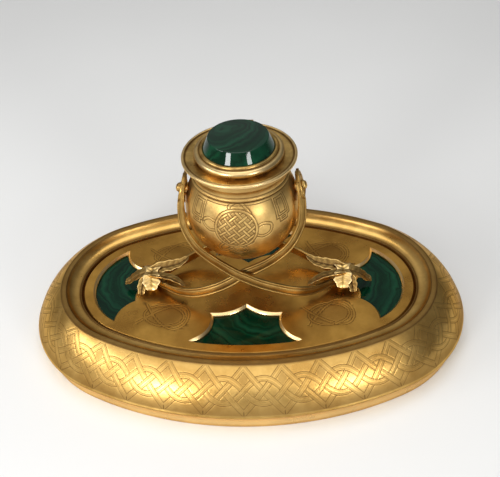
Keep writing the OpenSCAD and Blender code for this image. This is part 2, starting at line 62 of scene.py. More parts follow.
LEAF_X, STUD_HOLE_R = 66.0, 1.5
HINGE_Y, HINGE_Z, KNUCKLE_R = 38.2, 139.2, 2.4
PLATE_Z, PLATE_T, LID_R = 140.0, 1.3, 35.4
STONE_R, STONE_TOP_R, STONE_EDGE_Z, STONE_DOME = 22.0, 18.4, 154.6, 1.4
REPEATS = 29  # of the plait round the border
FACET_Y = 0.9995  # keeps the round belt inside the CAD's faceted one
STRAIGHT = -0.94  # cosine between the two ways from a corner that is left as it is


# ---------------------------------------------------------------- mesh helpers
def link(name, data):
    """A new object in the scene."""
    obj = bpy.data.objects.new(name, data)
    bpy.context.scene.collection.objects.link(obj)
    return obj


def new_object(name, points, faces, material, body, node, values, angle=40):
    """A mesh object from points in mm, which rides on body and stands for CAD nodes.

    faces holds one array for each number of corners. values is each point's patina and painted light: above 0
    in dark cuts and corners, as patina and painted shade, below 0 where a highlight or reflection is painted
    in bright gold."""
    mesh = bpy.data.meshes.new(name)
    mesh.vertices.add(len(points))
    mesh.vertices.foreach_set("co", (np.asarray(points, float) * MM).astype(np.float32).ravel())
    loops = np.concatenate([np.asarray(f, np.int32).ravel() for f in faces])
    sizes = np.concatenate([np.full(len(f), np.shape(f)[1], np.int32) for f in faces])
    mesh.loops.add(len(loops))
    mesh.loops.foreach_set("vertex_index", loops)
    mesh.polygons.add(len(sizes))
    starts = np.concatenate([[0], np.cumsum(sizes)[:-1]]).astype(np.int32)
    mesh.polygons.foreach_set("loop_start", starts)
    mesh.polygons.foreach_set("use_smooth", np.ones(len(sizes), bool))
    mesh.update(calc_edges=True)
    mesh.validate()
    mesh.set_sharp_from_angle(angle=radians(angle))
    patina_and_painted_light = mesh.attributes.new("patina_and_painted_light", "FLOAT", "POINT")
    patina_and_painted_light.data.foreach_set("value", np.asarray(values, np.float32).ravel())
    obj = link(name, mesh)
    mesh.materials.append(material)
    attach(obj, body)
    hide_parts(*([node] if isinstance(node, str) else node))


def unit(v):
    return v / np.maximum(np.linalg.norm(v, axis=-1, keepdims=True), 1e-9)


def grid_faces(rows, cols, wrap_rows=False):
    """Quads of rows by cols points, counted row by row. Each row closes into a ring."""
    i, j = np.meshgrid(np.arange(rows if wrap_rows else rows - 1), np.arange(cols), indexing="ij")
    i1, j1 = (i + 1) % rows, (j + 1) % cols
    return np.stack([i * cols + j, i * cols + j1, i1 * cols + j1, i1 * cols + j], -1).reshape(-1, 4)


def grid_normals(grid, wrap_rows=False):
    """Unit normals of such a grid of points from central differences."""
    across = np.roll(grid, -1, 1) - np.roll(grid, 1, 1)
    down = np.roll(grid, -1, 0) - np.roll(grid, 1, 0) if wrap_rows else np.gradient(grid, axis=0)
    return unit(np.cross(across, down))


def full_turn(count, start=0.0):
    return np.arange(count) / count * 2 * pi + start


def turned(profile, count, start=0.0):
    """Rings of points from a profile of (radius, height) turned about Z."""
    a = full_turn(count, start)
    r, z = profile[:, :1], profile[:, 1:]
    return np.stack([r * np.cos(a), r * np.sin(a), np.repeat(z, count, 1)], -1)


def resample(points, step):
    """Points along a polyline no further apart than step, with its corners kept."""
    points = np.asarray(points, float)
    out = [points[:1]]
    for a, b in zip(points[:-1], points[1:]):
        n = max(1, int(ceil(np.linalg.norm(b - a) / step)))
        out.append(a + (b - a) * (np.arange(1, n + 1) / n)[:, None])
    return np.concatenate(out)


def round_corners(points, radius, closed=False, steps=3):
    """A polyline with each corner of over 20 degrees replaced by a small curve."""
    points = [np.asarray(p, float) for p in points]
    out, n = [], len(points)
    for i, p in enumerate(points):
        curve = [p]
        if closed or 0 < i < n - 1:
            a, b = points[i - 1] - p, points[(i + 1) % n] - p
            la, lb = np.linalg.norm(a), np.linalg.norm(b)
            ua, ub = a / la, b / lb
            if ua @ ub >= STRAIGHT:
                r = min(radius, 0.4 * la, 0.4 * lb)
                curve = [p + ua * r * (1 - t) ** 2 + ub * r * t * t for t in np.linspace(0, 1, steps + 1)]
        out += curve
    return np.array(out)


def smooth_ring(points, radius, step):
    """A closed outline with rounded corners and points no further apart than step."""
    rounded = round_corners(points, radius, True)
    return resample(np.concatenate([rounded, rounded[:1]]), step)[:-1]


def arc_centre(p, q, sag):
    """Centre of the arc from p to q that bulges by sag to the right of its way."""
    p, q = np.array(p, float), np.array(q, float)
    c = np.linalg.norm(q - p)
    r = (c * c / 4 + sag * sag) / (2 * abs(sag))
    d = (q - p) / c
    return (p + q) / 2 + copysign(r - abs(sag), sag) * np.array([-d[1], d[0]])


def arc_about(centre, p, q, n):
    """n + 1 points on the shorter arc about centre from p to q."""
    centre, p, q = (np.array(v, float) for v in (centre, p, q))
    a0, a1 = atan2(*(p - centre)[::-1]), atan2(*(q - centre)[::-1])
    r0, r1 = np.linalg.norm(p - centre), np.linalg.norm(q - centre)
    t = np.linspace(0, 1, n + 1)
    a = a0 + ((a1 - a0 + pi) % (2 * pi) - pi) * t
    return centre + np.stack([np.cos(a), np.sin(a)], -1) * (r0 + (r1 - r0) * t)[:, None]


def arc(p, q, sag, n):
    return arc_about(arc_centre(p, q, sag), p, q, n)


def crossings(c1, r1, c2, r2):
    """The two points where two circles cross."""
    c1, c2 = np.array(c1, float), np.array(c2, float)
    d = np.linalg.norm(c2 - c1)
    a = (r1 * r1 - r2 * r2 + d * d) / (2 * d)
    h = sqrt(max(r1 * r1 - a * a, 0))
    m = c1 + a * (c2 - c1) / d
    n = np.array([-(c2 - c1)[1], (c2 - c1)[0]]) / d
    return m + h * n, m - h * n


def bezier(points, n):
    t = np.linspace(0, 1, n + 1)[:, None]
    a, b, c, d = np.array(points, float)
    return (1 - t) ** 3 * a + 3 * (1 - t) ** 2 * t * b + 3 * (1 - t) * t * t * c + t**3 * d


def arc_length(points):
    return np.concatenate([[0], np.cumsum(np.linalg.norm(np.diff(points, axis=0), axis=1))])


def smooth(x, lo, hi):
    t = np.clip((x - lo) / (hi - lo), 0, 1)
    return t * t * (3 - 2 * t)


def ridge(x, width):
    """1 on a line, falling off softly within about width of it."""
    return np.exp(-((x / width) ** 2))


def along(v, s):
    """Catmull-Rom curve through the rows of v, at places s counted in rows."""
    v = np.asarray(v, float)
    i = np.minimum(np.floor(s).astype(int), len(v) - 2)
    t = (s - i)[:, None]
    a, b, c, d = (v[np.clip(i + k, 0, len(v) - 1)] for k in (-1, 0, 1, 2))
    return 0.5 * (
        2 * b + (c - a) * t + (2 * a - 5 * b + 4 * c - d) * t**2 + (3 * b - a - 3 * c + d) * t**3
    )


def tangents(v, s):
    return unit(along(v, s + 0.05) - along(v, s - 0.05))


# ---------------------------------------------------------------- engraved bands
def strand_height(dist, over, half, line, depth, inset=0.0):
    """Where interlaced bands lie, how dark their cuts are and how deep.

    dist and over have one row for each strand, with its distance and its level. The band on
    top at a point owns it, and its edges at half its width are cut as fine lines, with a
    fainter line by inset inside each edge."""
    dist, over = np.asarray(dist), np.asarray(over)
    inside = dist < half + 0.9 * line
    owner = np.argmax(np.where(inside, over, -9.0), axis=0)
    on = inside.any(axis=0)
    d = np.take_along_axis(dist, owner[None], 0)[0]
    cut = np.where(on, ridge(d - half, line), 0)
    if inset:
        cut = np.maximum(cut, np.where(on, 0.55 * ridge(d - half + inset, 0.8 * line), 0))
    return on & (d < half), cut, depth * cut


def polyline_distance(x, y, loop):
    """Distance from points to a closed polyline, and the nearest place along it from 0 to 1."""
    best, place = np.full(x.shape, 1e9), np.zeros(x.shape)
    for k, (start, end) in enumerate(zip(loop, np.roll(loop, -1, 0))):
        d = end - start
        t = np.clip(((x - start[0]) * d[0] + (y - start[1]) * d[1]) / (d @ d), 0, 1)
        gap = np.hypot(x - start[0] - t * d[0], y - start[1] - t * d[1])
        near = gap < best
        best, place = np.where(near, gap, best), np.where(near, (k + t) / len(loop), place)
    return best, place


def strand_fields(x, y, strands):
    """Distances and levels of closed strands, given as (points, waves, start).

    A strand goes over and under waves times on its way round."""
    fields = [(polyline_distance(x, y, points), waves, start) for points, waves, start in strands]
    return [d for (d, _), _, _ in fields], [np.sin(2 * pi * (w * t + start)) for (_, t), w, start in fields]


# ---------------------------------------------------------------- materials
def nodes_of(name):
    mat = bpy.data.materials.new(name)
    mat.use_nodes = True
    return mat, mat.node_tree, mat.node_tree.nodes["Principled BSDF"]


def plug(tree, node, inputs):
    """Sets each input of a node to a value, or joins it to another node's output."""
    for key, value in inputs.items():
        if isinstance(value, bpy.types.NodeSocket):
            tree.links.new(value, node.inputs[key])
        else:
            node.inputs[key].default_value = value
    return node


def add(tree, kind, inputs, **settings):
    node = tree.nodes.new("ShaderNode" + kind)
    for key, value in settings.items():
        setattr(node, key, value)
    return plug(tree, node, inputs)


def calc(tree, operation, a, b, **settings):
    return add(tree, "Math", {0: a, 1: b}, operation=operation, **settings).outputs[0]


def span(tree, value, lo, hi, new_lo, new_hi):
    """A value's range mapped to a new one."""
    return add(tree, "MapRange", {"Value": value, 1: lo, 2: hi, 3: new_lo, 4: new_hi}).outputs[0]


def coords(tree, kind="Object"):
    return add(tree, "TexCoord", {}).outputs[kind]


def ramp(tree, source, *stops):
    """A colour ramp; a stop is (place, colour) or (place, grey)."""
    node = add(tree, "ValToRGB", {0: source})
    while len(node.color_ramp.elements) < len(stops):
        node.color_ramp.elements.new(0.5)
    for element, (at, colour) in zip(node.color_ramp.elements, stops):
        element.position = at
        element.color = (*(colour if isinstance(colour, tuple) else (colour,) * 3), 1)
    return node.outputs[0]


def mix(tree, factor, a, b, blend="MIX"):
    a, b = ((*v, 1) if isinstance(v, tuple) else v for v in (a, b))
    return add(tree, "Mix", {0: factor, 6: a, 7: b}, data_type="RGBA", blend_type=blend).outputs[2]


def noise(tree, scale, detail, rough=0.55, where=None):
    inputs = {"Vector": where or coords(tree), "Scale": scale, "Detail": detail, "Roughness": rough}
    return add(tree, "TexNoise", inputs).outputs["Fac"]


def bump(tree, strength, distance, height, below=None):
    inputs = {"Strength": strength, "Distance": distance, "Height": height}
    if below:
        inputs["Normal"] = below
    return add(tree, "Bump", inputs).outputs[0]


# BRIGHT is the gold of painted highlights and reflections
PATINA, BRIGHT, GRAZING = (0.085, 0.04, 0.012), (0.92, 0.70, 0.36), (0.92, 0.76, 0.55, 1)


def gilt(name, base, warm, rough, cloud, scratched=0.035, patina=PATINA):
    """Gilt bronze: clouded gold, brown patina in the cuts with painted shade, fine scratches, and painted
    highlights and reflections in bright gold.
    """
    mat, tree, bsdf = nodes_of(name)
    depth = add(tree, "Attribute", {}, attribute_name="patina_and_painted_light").outputs["Fac"]
    patina_and_painted_light = calc(tree, "MAXIMUM", depth, 0.0)
    wear_and_highlight = calc(tree, "MULTIPLY", depth, -1.0, use_clamp=True)
    clouds = noise(tree, cloud, 5, 0.6)
    spots = noise(tree, cloud * 4.2, 3, 0.5)
    fine = noise(tree, 1400, 3, 0.6)
    stretched = add(tree, "Mapping", {"Vector": coords(tree), "Scale": (1, 1, 6)}).outputs[0]
    scratches = noise(tree, 520, 2, 0.5, stretched)
    tone = ramp(tree, clouds, (0.34, warm), (0.62, base))
    spotted = ramp(tree, spots, (0.42, (0.86, 0.83, 0.78)), (0.6, 1))
    colour = mix(tree, 0.7, tone, spotted, "MULTIPLY")
    # above 0 the value mixes in patina, and painted shade with it; below 0 it mixes in BRIGHT gold as painted
    # highlights and reflections
    colour = mix(tree, wear_and_highlight, mix(tree, patina_and_painted_light, colour, patina), BRIGHT)
    level = calc(tree, "ADD", span(tree, clouds, 0.3, 0.7, *rough), calc(tree, "MULTIPLY", patina_and_painted_light, 0.3))
    rubbed_and_highlight = bump(tree, scratched, 0.0004, calc(tree, "ADD", scratches, fine))
    uneven = bump(tree, 0.06, 0.0016, clouds, rubbed_and_highlight)
    plug(tree, bsdf, {"Base Color": colour, "Metallic": 1.0, "Specular Tint": GRAZING})
    plug(tree, bsdf, {"Roughness": level, "Normal": uneven})
    return mat


# malachite from its darkest band to its lightest, and its bluish clouds
DARK, MID, LIGHT = (0.001, 0.016, 0.006), (0.003, 0.034, 0.014), (0.005, 0.047, 0.021)
BLUISH = (0.002, 0.016, 0.010)


def stone(name, centre, ring, ior=1.3):
    """Polished malachite: wavy bands round a centre in mm, with lighter seams and darker clouds."""
    mat, tree, bsdf = nodes_of(name)
    middle = tuple(-c * MM for c in centre)
    moved = add(tree, "Mapping", {"Vector": coords(tree), "Location": middle}).outputs[0]
    warp = add(tree, "TexNoise", {"Vector": moved, "Scale": 60, "Detail": 3}).outputs["Color"]
    centred = add(tree, "VectorMath", {0: warp, 1: (0.5, 0.5, 0.5)}, operation="SUBTRACT").outputs[0]
    shift = add(tree, "VectorMath", {0: centred, "Scale": 0.012}, operation="SCALE").outputs[0]
    bent = add(tree, "VectorMath", {0: moved, 1: shift}, operation="ADD").outputs[0]

    def rings(scale, distortion, detail, detail_scale):
        inputs = {"Vector": bent, "Scale": scale, "Distortion": distortion, "Detail": detail}
        inputs["Detail Scale"] = detail_scale
        return add(tree, "TexWave", inputs, wave_type="RINGS", rings_direction="SPHERICAL").outputs["Fac"]

    bands, fine = rings(ring, 2.2, 3, 1.6), rings(ring * 3.7, 3.0, 2, 1.0)
    colour = ramp(tree, bands, (0.0, DARK), (0.4, MID), (0.7, DARK), (1.0, LIGHT))
    lines = ramp(tree, fine, (0.0, (0.75, 0.8, 0.78)), (0.5, 1), (1.0, (1.18, 1.18, 1.1)))
    colour = mix(tree, 0.8, colour, lines, "MULTIPLY")
    cloudy = ramp(tree, noise(tree, 45, 4, 0.6), (0.36, 0), (0.62, 1))
    colour = mix(tree, cloudy, mix(tree, 0.4, colour, BLUISH), colour)
    polish = bump(tree, 0.03, 0.0002, noise(tree, 900, 2))
    plug(tree, bsdf, {"Base Color": colour, "Roughness": 0.035, "IOR": ior, "Normal": polish})
    return mat


def clear_glass():
    mat, tree, bsdf = nodes_of("liner_glass")
    haze = noise(tree, 160, 3)
    tint = ramp(tree, haze, (0.3, (0.90, 0.95, 0.93)), (0.7, (0.95, 0.98, 0.97)))
    plug(tree, bsdf, {"Base Color": tint, "Roughness": span(tree, haze, 0.35, 0.7, 0.02, 0.08)})
    plug(tree, bsdf, {"Transmission Weight": 1.0, "IOR": 1.5})
    return mat


gold_band = gilt("gilt_band", (0.73, 0.465, 0.145), (0.58, 0.335, 0.088), (0.25, 0.36), 38)
gold_deck = gilt("gilt_deck", (0.70, 0.385, 0.082), (0.45, 0.22, 0.044), (0.22, 0.36), 24)
gold_pot = gilt("gilt_pot", (0.83, 0.56, 0.20), (0.54, 0.32, 0.105), (0.26, 0.38), 44)
gold_ribbon = gilt("gilt_ribbon", (0.53, 0.335, 0.10), (0.33, 0.195, 0.055), (0.3, 0.42), 60)
gold_leaf = gilt("gilt_leaf", (0.72, 0.48, 0.16), (0.44, 0.265, 0.08), (0.24, 0.36), 130)
gold_lid = gilt("gilt_lid", (0.78, 0.52, 0.175), (0.32, 0.185, 0.06), (0.25, 0.36), 75, 0.012)
SOOT, TARNISH = (0.05, 0.05, 0.05), (0.14, 0.10, 0.05)
brass = gilt("brass_plain", (0.62, 0.47, 0.22), (0.52, 0.38, 0.16), (0.34, 0.5), 60, 0.12, TARNISH)
steel = gilt("steel_blued", (0.30, 0.31, 0.34), (0.22, 0.22, 0.25), (0.3, 0.45), 90, 0.1, SOOT)


# ---------------------------------------------------------------- the oval
def oval_frame(count, at):
    """count places evenly spaced along the oval line that is at outside the widest one.

    Gives each place's arc centre, arc radius, outward direction and share of the way round,
    from the middle of the front towards +X."""
    a_end, a_side = 2 * JOIN, pi - 2 * JOIN
    pieces = [
        (0, SIDE_Y, SIDE_R, -pi / 2, a_side / 2),
        (END_X, 0, END_R, -JOIN, a_end),
        (0, -SIDE_Y, SIDE_R, JOIN, a_side),
        (-END_X, 0, END_R, pi - JOIN, a_end),
        (0, SIDE_Y, SIDE_R, pi + JOIN, a_side / 2),
    ]
    lengths = np.array([(r + at) * a for _, _, r, _, a in pieces])
    ends = np.concatenate([[0], np.cumsum(lengths)])
    s = np.arange(count) / count * ends[-1]
    k = np.minimum(np.searchsorted(ends, s, side="right") - 1, len(pieces) - 1)
    cx, cy, r, a0, turn = np.array(pieces)[k].T
    a = a0 + turn * (s - ends[k]) / lengths[k]
    return np.stack([cx, cy], -1), r, np.stack([np.cos(a), np.sin(a)], -1), s / ends[-1]


def oval_loop(at):
    centre, radius, out, _ = oval_frame(420, at)
    return centre + (radius[:, None] + at) * out


def oval_offset(x, y):
    """How far points lie outside the oval's widest line (inside is negative)."""
    ax, ay = np.abs(x), np.abs(y)
    end = np.hypot(ax - END_X, ay) - END_R
    side = np.hypot(ax, ay + SIDE_Y) - SIDE_R
    return np.where(ay * END_X < (ax - END_X) * SIDE_Y, end, side)


BAND_PITCH = 23.2  # nominal width of one V of the plait
# its strands: top and bottom as shares of the height, and whether they are rounded
STRANDS = (0.97, 0.07, False), (0.76, 0.27, True)
BAND_HALF, BAND_LINE, BAND_DEPTH, BAND_INSET, TAIL_DEPTH = 1.7, 0.22, 0.1, 0.95, 0.12


def band_relief(u, h, height):
    """The border's engraved plait. u runs 0 to 1 round the oval, h from 0 at the belt to height."""
    x = ((u * REPEATS) % 2) * BAND_PITCH
    dist, over = [], []
    for top, bottom, rounded in STRANDS:
        for shift in (0, 1):
            phase = (x / BAND_PITCH + shift + (0.5 if rounded else 0)) % 2
            down = phase < 1
            f = np.where(down, phase, 2 - phase)
            slope = (top - bottom) * height / BAND_PITCH
            if rounded:
                wave = np.cos(pi * f) * (1 + 0.13 * np.sin(pi * f) ** 2)
                y = (top + bottom) / 2 + (top - bottom) / 2 * wave
                slope = slope * (pi / 2) * np.sin(pi * f)
            else:
                y = top + (bottom - top) * f
            dist.append(np.abs(h - y * height) / np.sqrt(1 + slope * slope))
            step = np.where((f > 0.125) & (f < 0.375) | (f > 0.625) & (f < 0.875), 1.0, -1.0)
            step = np.where((f < 0.125) | (f > 0.875), 0.2, step)
            over.append(np.where(down, step, -step))
    on, cut, depth = strand_height(dist, over, BAND_HALF, BAND_LINE, BAND_DEPTH, BAND_INSET)
    # each V runs on as one line to the belt, and the small cells below the peaks are darker
    v = np.minimum(x % BAND_PITCH, BAND_PITCH - x % BAND_PITCH)
    tail = ridge(v, 0.24) * (h < 0.1 * height)
    cell = (~on) & (v < 2.4) & (h < 0.86 * height) & (h > 0.62 * height)
    shade = np.where(cell, 0.34 * smooth(np.min(dist, 0), 1.8, 2.6), 0)
    # the band is darker towards the belt over its lower part
    low = 0.5 * (1 - smooth(h, 0.04 * height, 0.4 * height))
    dark = np.maximum(np.maximum(cut, tail), shade + low)
    fade = smooth(h, 0.0, 0.6) * smooth(height - h, 0.0, 0.5)
    return -np.maximum(depth, TAIL_DEPTH * tail) * fade, dark * fade


def border():
    """Foot, band, rim and cove as one ring: a profile of (distance outside the belt, height)."""
    lip, ledge, cove = DECK_IN - 0.3, DECK_Z - DECK_T, RIM_IN + RIM_FLAT
    band_low, band_top = (-0.5, BELT_Z + 0.8), (-RIM_IN, RIM_Z - 0.7)
    foot_arc = arc((-FOOT_IN + 0.5, 2.2), (-0.6, BELT_Z - 1.4), -0.9, 8)
    lower = [(-FOOT_IN - 4, 0), (-FOOT_IN, 0), (-FOOT_IN, 1.6), *foot_arc]
    lower += [(0, BELT_Z - 0.8), (0, BELT_Z), band_low]
    band = arc(band_low, band_top, 2.4, 92)
    upper = [
        *(band_top, (-RIM_IN - 0.7, RIM_Z), (-cove, RIM_Z)),
        *arc((-cove - 0.6, RIM_Z - 0.6), (-lip + 1.4, DECK_Z + 0.6), -1.5, 12),
        *((-lip + 1.0, DECK_Z + 1.1), (-lip + 0.3, DECK_Z + 1.1), (-lip, DECK_Z + 0.6), (-lip, ledge)),
        *((-39.5, ledge), (-39.5, ledge - 3), (-lip - 0.5, ledge - 3), (-cove - 1, RIM_Z - 4.6)),
        *((-RIM_IN - 0.6, RIM_Z - 4.6), (-4.2, BELT_Z + 2), (-4.2, BELT_Z - 2), (-FOOT_IN - 4, 3)),
    ]
    lower, upper = resample(round_corners(lower, 0.5), 1.6), resample(round_corners(upper, 0.45), 1.6)
    profile = np.concatenate([lower[:-1], band[:-1], upper])
    off, z = profile.T
    centre, radius, out, u = oval_frame(1740, -RIM_IN)
    grid = np.empty((len(profile), len(u), 3))
    grid[..., :2] = centre[None] + (radius[None] + off[:, None])[..., None] * out[None]
    grid[..., 2] = z[:, None]
    height = arc_length(band)
    relief, dark = np.zeros(grid.shape[:2]), np.zeros(grid.shape[:2])
    rows = slice(len(lower) - 1, len(lower) - 1 + len(band))
    relief[rows], dark[rows] = band_relief(u[None], height[:, None], height[-1])
    grid += grid_normals(grid, True) * relief[..., None]
    grid[..., 1] *= FACET_Y
    # brown in the joints, on the rim and on the lip; the foot gets a painted reflection of the pale floor in
    # bright gold
    joints = [(-3.7, 1.9), (-0.2, BELT_Z - 0.9), (-lip + 1.5, DECK_Z + 0.6)]
    joints += [(-24.9, RIM_Z - 0.6), (-20.5, RIM_Z - 0.4)]
    brown = sum(0.6 * np.exp(-(((off - x) ** 2 + (z - y) ** 2) / 0.5)) for x, y in joints)
    brown += 0.62 * (z > RIM_Z - 0.5) * (off > -cove - 0.5) + 0.75 * (off < -lip + 1.6) * (z > DECK_Z)
    dark = np.maximum(dark, np.clip(brown, 0, 0.85)[:, None])
    # painted reflection on the foot: below 0 mixes in bright gold
    dark[(z < BELT_Z - 1.2) & (z > 1) & (off > -FOOT_IN - 0.3)] -= 0.6
    faces = [grid_faces(*grid.shape[:2], True)]
    cad_nodes = ["base_foot", "base_band", "base_rim"]
    new_object("border", grid.reshape(-1, 3), faces, gold_band, "stand", cad_nodes, dark)


# ---------------------------------------------------------------- windows and deck
def window(centre, radius, lobe, lobe_r, cusp, peak, sag, count):
    """Outline of a window, anticlockwise from a tip.

    Half of it runs on the lobe's circle to the cusp, and over a shoulder to the peak. The
    other half mirrors it, and an arc along the oval closes it."""
    peak = np.array(peak, float)
    mirror = np.where(peak == 0, -1, 1)
    tip = max(crossings(centre, radius - WINDOW_IN, lobe, lobe_r), key=lambda p: p @ peak)
    shoulder = arc_about(arc_centre(peak, cusp, sag), cusp, peak, count)
    half = np.concatenate([arc_about(lobe, tip, cusp, 26)[:-1], shoulder])
    outer = arc_about(centre, tip * mirror, tip, 60)
    return np.concatenate([half, (half[::-1][1:] * mirror)[:-1], outer[:-1]])


def offset_loop(loop, by):
    """A closed outline moved to the left of its way, mitred at its corners and without folds."""
    t1 = unit(np.roll(loop, -1, 0) - loop)
    t0 = np.roll(t1, 1, 0)
    n0, n1 = np.stack([-t0[:, 1], t0[:, 0]], -1), np.stack([-t1[:, 1], t1[:, 0]], -1)
    dot = (n0 * n1).sum(1)
    moved = loop + by * (n0 + n1) / np.maximum(1 + dot, 0.35)[:, None]
    gap, _ = polyline_distance(moved[:, 0], moved[:, 1], loop)
    folded = gap < abs(by) - 0.03
    corners = np.nonzero((dot < 0.9) & ~folded)[0]
    for i in np.nonzero(folded)[0]:
        if len(corners):
            moved[i] = moved[corners[np.argmin(np.linalg.norm(loop[corners] - loop[i], axis=1))]]
    return moved


def inside_loop(x, y, loop):
    """Even and odd test of points against a closed outline."""
    inside = np.zeros(x.shape, bool)
    for (x0, y0), (x1, y1) in zip(loop, np.roll(loop, -1, 0)):
        crosses = (y0 > y) != (y1 > y)
        with np.errstate(divide="ignore", invalid="ignore"):
            at = x0 + (y - y0) * (x1 - x0) / (y1 - y0)
        inside ^= crosses & (x < at)
    return inside


def set_down(x, y, cx, cy, turn):
    """Points turned and moved to a centre."""
    c, s = cos(turn), sin(turn)
    return np.stack([cx + x * c - y * s, cy + x * s + y * c], -1)


def ellipse(cx, cy, wide, high, turn=0.0, n=60):
    t = full_turn(n)
    return set_down(wide * np.cos(t), high * np.sin(t), cx, cy, turn)


def plait(cx, cy, wide, high, across, up, phase, turn):
    """A closed plaited strand, which crosses itself over and under by turns."""
    t = full_turn(150)
    return set_down(wide * np.sin(across * t), high * np.sin(up * t + phase), cx, cy, turn)


KNOT_AT, KNOT_LEAN = np.array([55.0, 31.0]), 0.2


def deck_knots():
    """Four knots engraved in the deck, one in each quarter, as (middle, strands)."""
    for quarter in ((-1, -1), (1, -1), (1, 1), (-1, 1)):
        cx, cy = KNOT_AT * quarter
        lean = -KNOT_LEAN * quarter[0] * quarter[1]
        frame_line = ellipse(cx, cy, 13.6, 9.2, lean)
        plaited = plait(cx, cy, 16.6, 10.6, 2, 3, 0.8, lean)
        yield frame_line.mean(0), [(frame_line, 6, 0.08), (plaited, 7, 0.1)]


def deck_height(x, y):
    """Engraving of the deck: height and darkness at points of its top."""
    height, dark = np.zeros(x.shape), np.zeros(x.shape)
    for (mx, my), strands in deck_knots():
        near = np.hypot(x - mx, (y - my) * 1.3) < 21
        kx, ky = x[near], y[near]
        on, cut, depth = strand_height(*strand_fields(kx, ky, strands), 0.85, 0.3, 0.16)
        height[near] -= depth
        wear_and_highlight = 0.26 * (1 - smooth(np.hypot((kx - mx) / 19, (ky - my) / 13), 0.55, 1.0))
        wear_and_highlight += np.where(inside_loop(kx, ky, strands[0][0]) & ~on, 0.12, 0)
        dark[near] = np.maximum(0.95 * cut, wear_and_highlight)
    edge = oval_offset(x, y)
    line = ridge(edge + DECK_IN + 1.1, 0.22)
    dark = np.maximum(dark, np.maximum(0.5 * line, 0.6 * smooth(edge, -DECK_IN - 0.8, -DECK_IN)))
    return height - 0.12 * line, dark


BEVEL, CELL = 1.5, 0.62  # width of the sloped edges, and the finest spacing of the deck's points
# how far the rings of a wall lie towards the top's outline, and how deep
WALL = (0.88, 0.14), (0.06, 1.6), (0, 1.75), (0, DECK_T)


def deck_top(loops, lip):
    """Points and triangles of the deck's top inside the lip and outside the loops."""
    ends = np.cumsum([len(v) for v in loops + [lip]]).tolist()
    edges = [(i, i + 1) for i in range(ends[-1])]
    for start, end in zip([0] + ends, ends):
        edges[end - 1] = (end - 1, start)
    x, y = np.meshgrid(np.arange(-114, 114, CELL), np.arange(-64, 64, CELL))
    row, col = np.indices(x.shape)
    x = x + row % 2 * CELL / 2
    edge = oval_offset(x, y)
    keep = (row % 4 == 0) & (col % 4 == 0) | (edge > -DECK_IN - 2.4) & (col % 2 == 0)
    for (mx, my), _ in deck_knots():
        keep |= np.hypot(x - mx, (y - my) * 1.25) < 19
    keep &= edge < -DECK_IN - 0.8
    x, y = x[keep], y[keep]
    clear = np.ones(len(x), bool)
    for loop in loops:
        clear &= ~inside_loop(x, y, loop) & (polyline_distance(x, y, loop)[0] > 0.4)
    flat = np.concatenate([*loops, lip, np.stack([x[clear], y[clear]], -1)])
    out = delaunay_2d_cdt([Vector(p) for p in flat.tolist()], edges, [], 0, 1e-5)
    verts = np.array([tuple(v) for v in out[0]])
    tris = np.array([f for f in out[2] if len(f) == 3], int)
    x, y = verts[tris].mean(1).T
    solid = inside_loop(x, y, lip)
    for loop in loops:
        solid &= ~inside_loop(x, y, loop)
    return verts, tris[solid]


def deck():
    # a window's arc of the oval, its lobes' circle, its cusp and peak, and its shoulders' bulge
    side = window((END_X, 0), END_R, (67.5, 35), 21.7, (77, 15.4), (73.5, 0), 2.2, 18)
    front = window((0, SIDE_Y), SIDE_R, (41.8, -35), 19.8, (22.4, -30.4), (0, -22.6), 2.5, 20)
    windows = [side, side * -1, front, front * -1]
    holes = [ellipse(s * LEAF_X, 0, STUD_HOLE_R, STUD_HOLE_R, 0, 24)[::-1] for s in (-1, 1)]
    rim = oval_loop(-DECK_IN)
    rings = [offset_loop(v, -BEVEL) for v in windows] + holes
    lip = offset_loop(rim, BEVEL)
    verts, tris = deck_top(rings, lip)
    height, dark = deck_height(*verts.T)
    points, faces, values = [np.column_stack([verts, DECK_Z + height])], [tris], [dark]
    count = len(verts)
    for loop, inner in zip(windows + holes + [rim], rings + [lip]):
        n = len(loop)
        row = np.array([np.argmin(((verts - p) ** 2).sum(1)) for p in inner])
        for share, drop in WALL:
            below = count + np.arange(n)
            points.append(np.column_stack([loop + (inner - loop) * share, np.full(n, DECK_Z - drop)]))
            # painted highlight in bright gold on the windows' and holes' bevels and walls, painted shade at
            # each wall's foot, and dark along the rim's wall
            values.append(np.full(n, 0.55 if loop is rim or drop == DECK_T else -0.75))
            faces.append(np.stack([row, np.roll(row, -1), np.roll(below, -1), below], -1))
            row, count = below, count + n
    points, values = np.concatenate(points), np.concatenate(values)
    new_object("deck", points, faces, gold_deck, "stand", "deck_plate", values, 28)


# ---------------------------------------------------------------- parts of pieces
# a part is (points, quads, triangles, values), and one piece can have several of them
def fan(start, count, pole, flip):
    """Triangles between a ring of count points from start and a pole."""
    ring = start + np.arange(count)
    tris = np.stack([ring, np.roll(ring, -1), np.full(count, pole)], -1)
    return tris[:, ::-1] if flip else tris


def tube_part(grid, dark, flip):
    """A closed tube from rings of points, with a fan at each end."""
    k, m = grid.shape[:2]
    quads = grid_faces(k, m)
    tris = np.concatenate([fan(0, m, k * m, False), fan((k - 1) * m, m, k * m + 1, True)])
    points = np.concatenate([grid.reshape(-1, 3), [grid[0].mean(0), grid[-1].mean(0)]])
    if flip:
        quads, tris = quads[:, ::-1], tris[:, ::-1]
    return points, quads, tris, np.concatenate([dark.ravel(), [0, 0]])


def ring_part(grid, value):
    """A closed ring from a closed profile's turned points."""
    rows, cols = grid.shape[:2]
    no_tris = np.zeros((0, 3), int)
    return grid.reshape(-1, 3), grid_faces(rows, cols, True), no_tris, np.full(rows * cols, value)


def mirrored(part, axis):
    points, quads, tris, values = part
    way = np.where(np.arange(3) == axis, -1, 1)
    return points * way, quads[:, ::-1], tris[:, ::-1], values


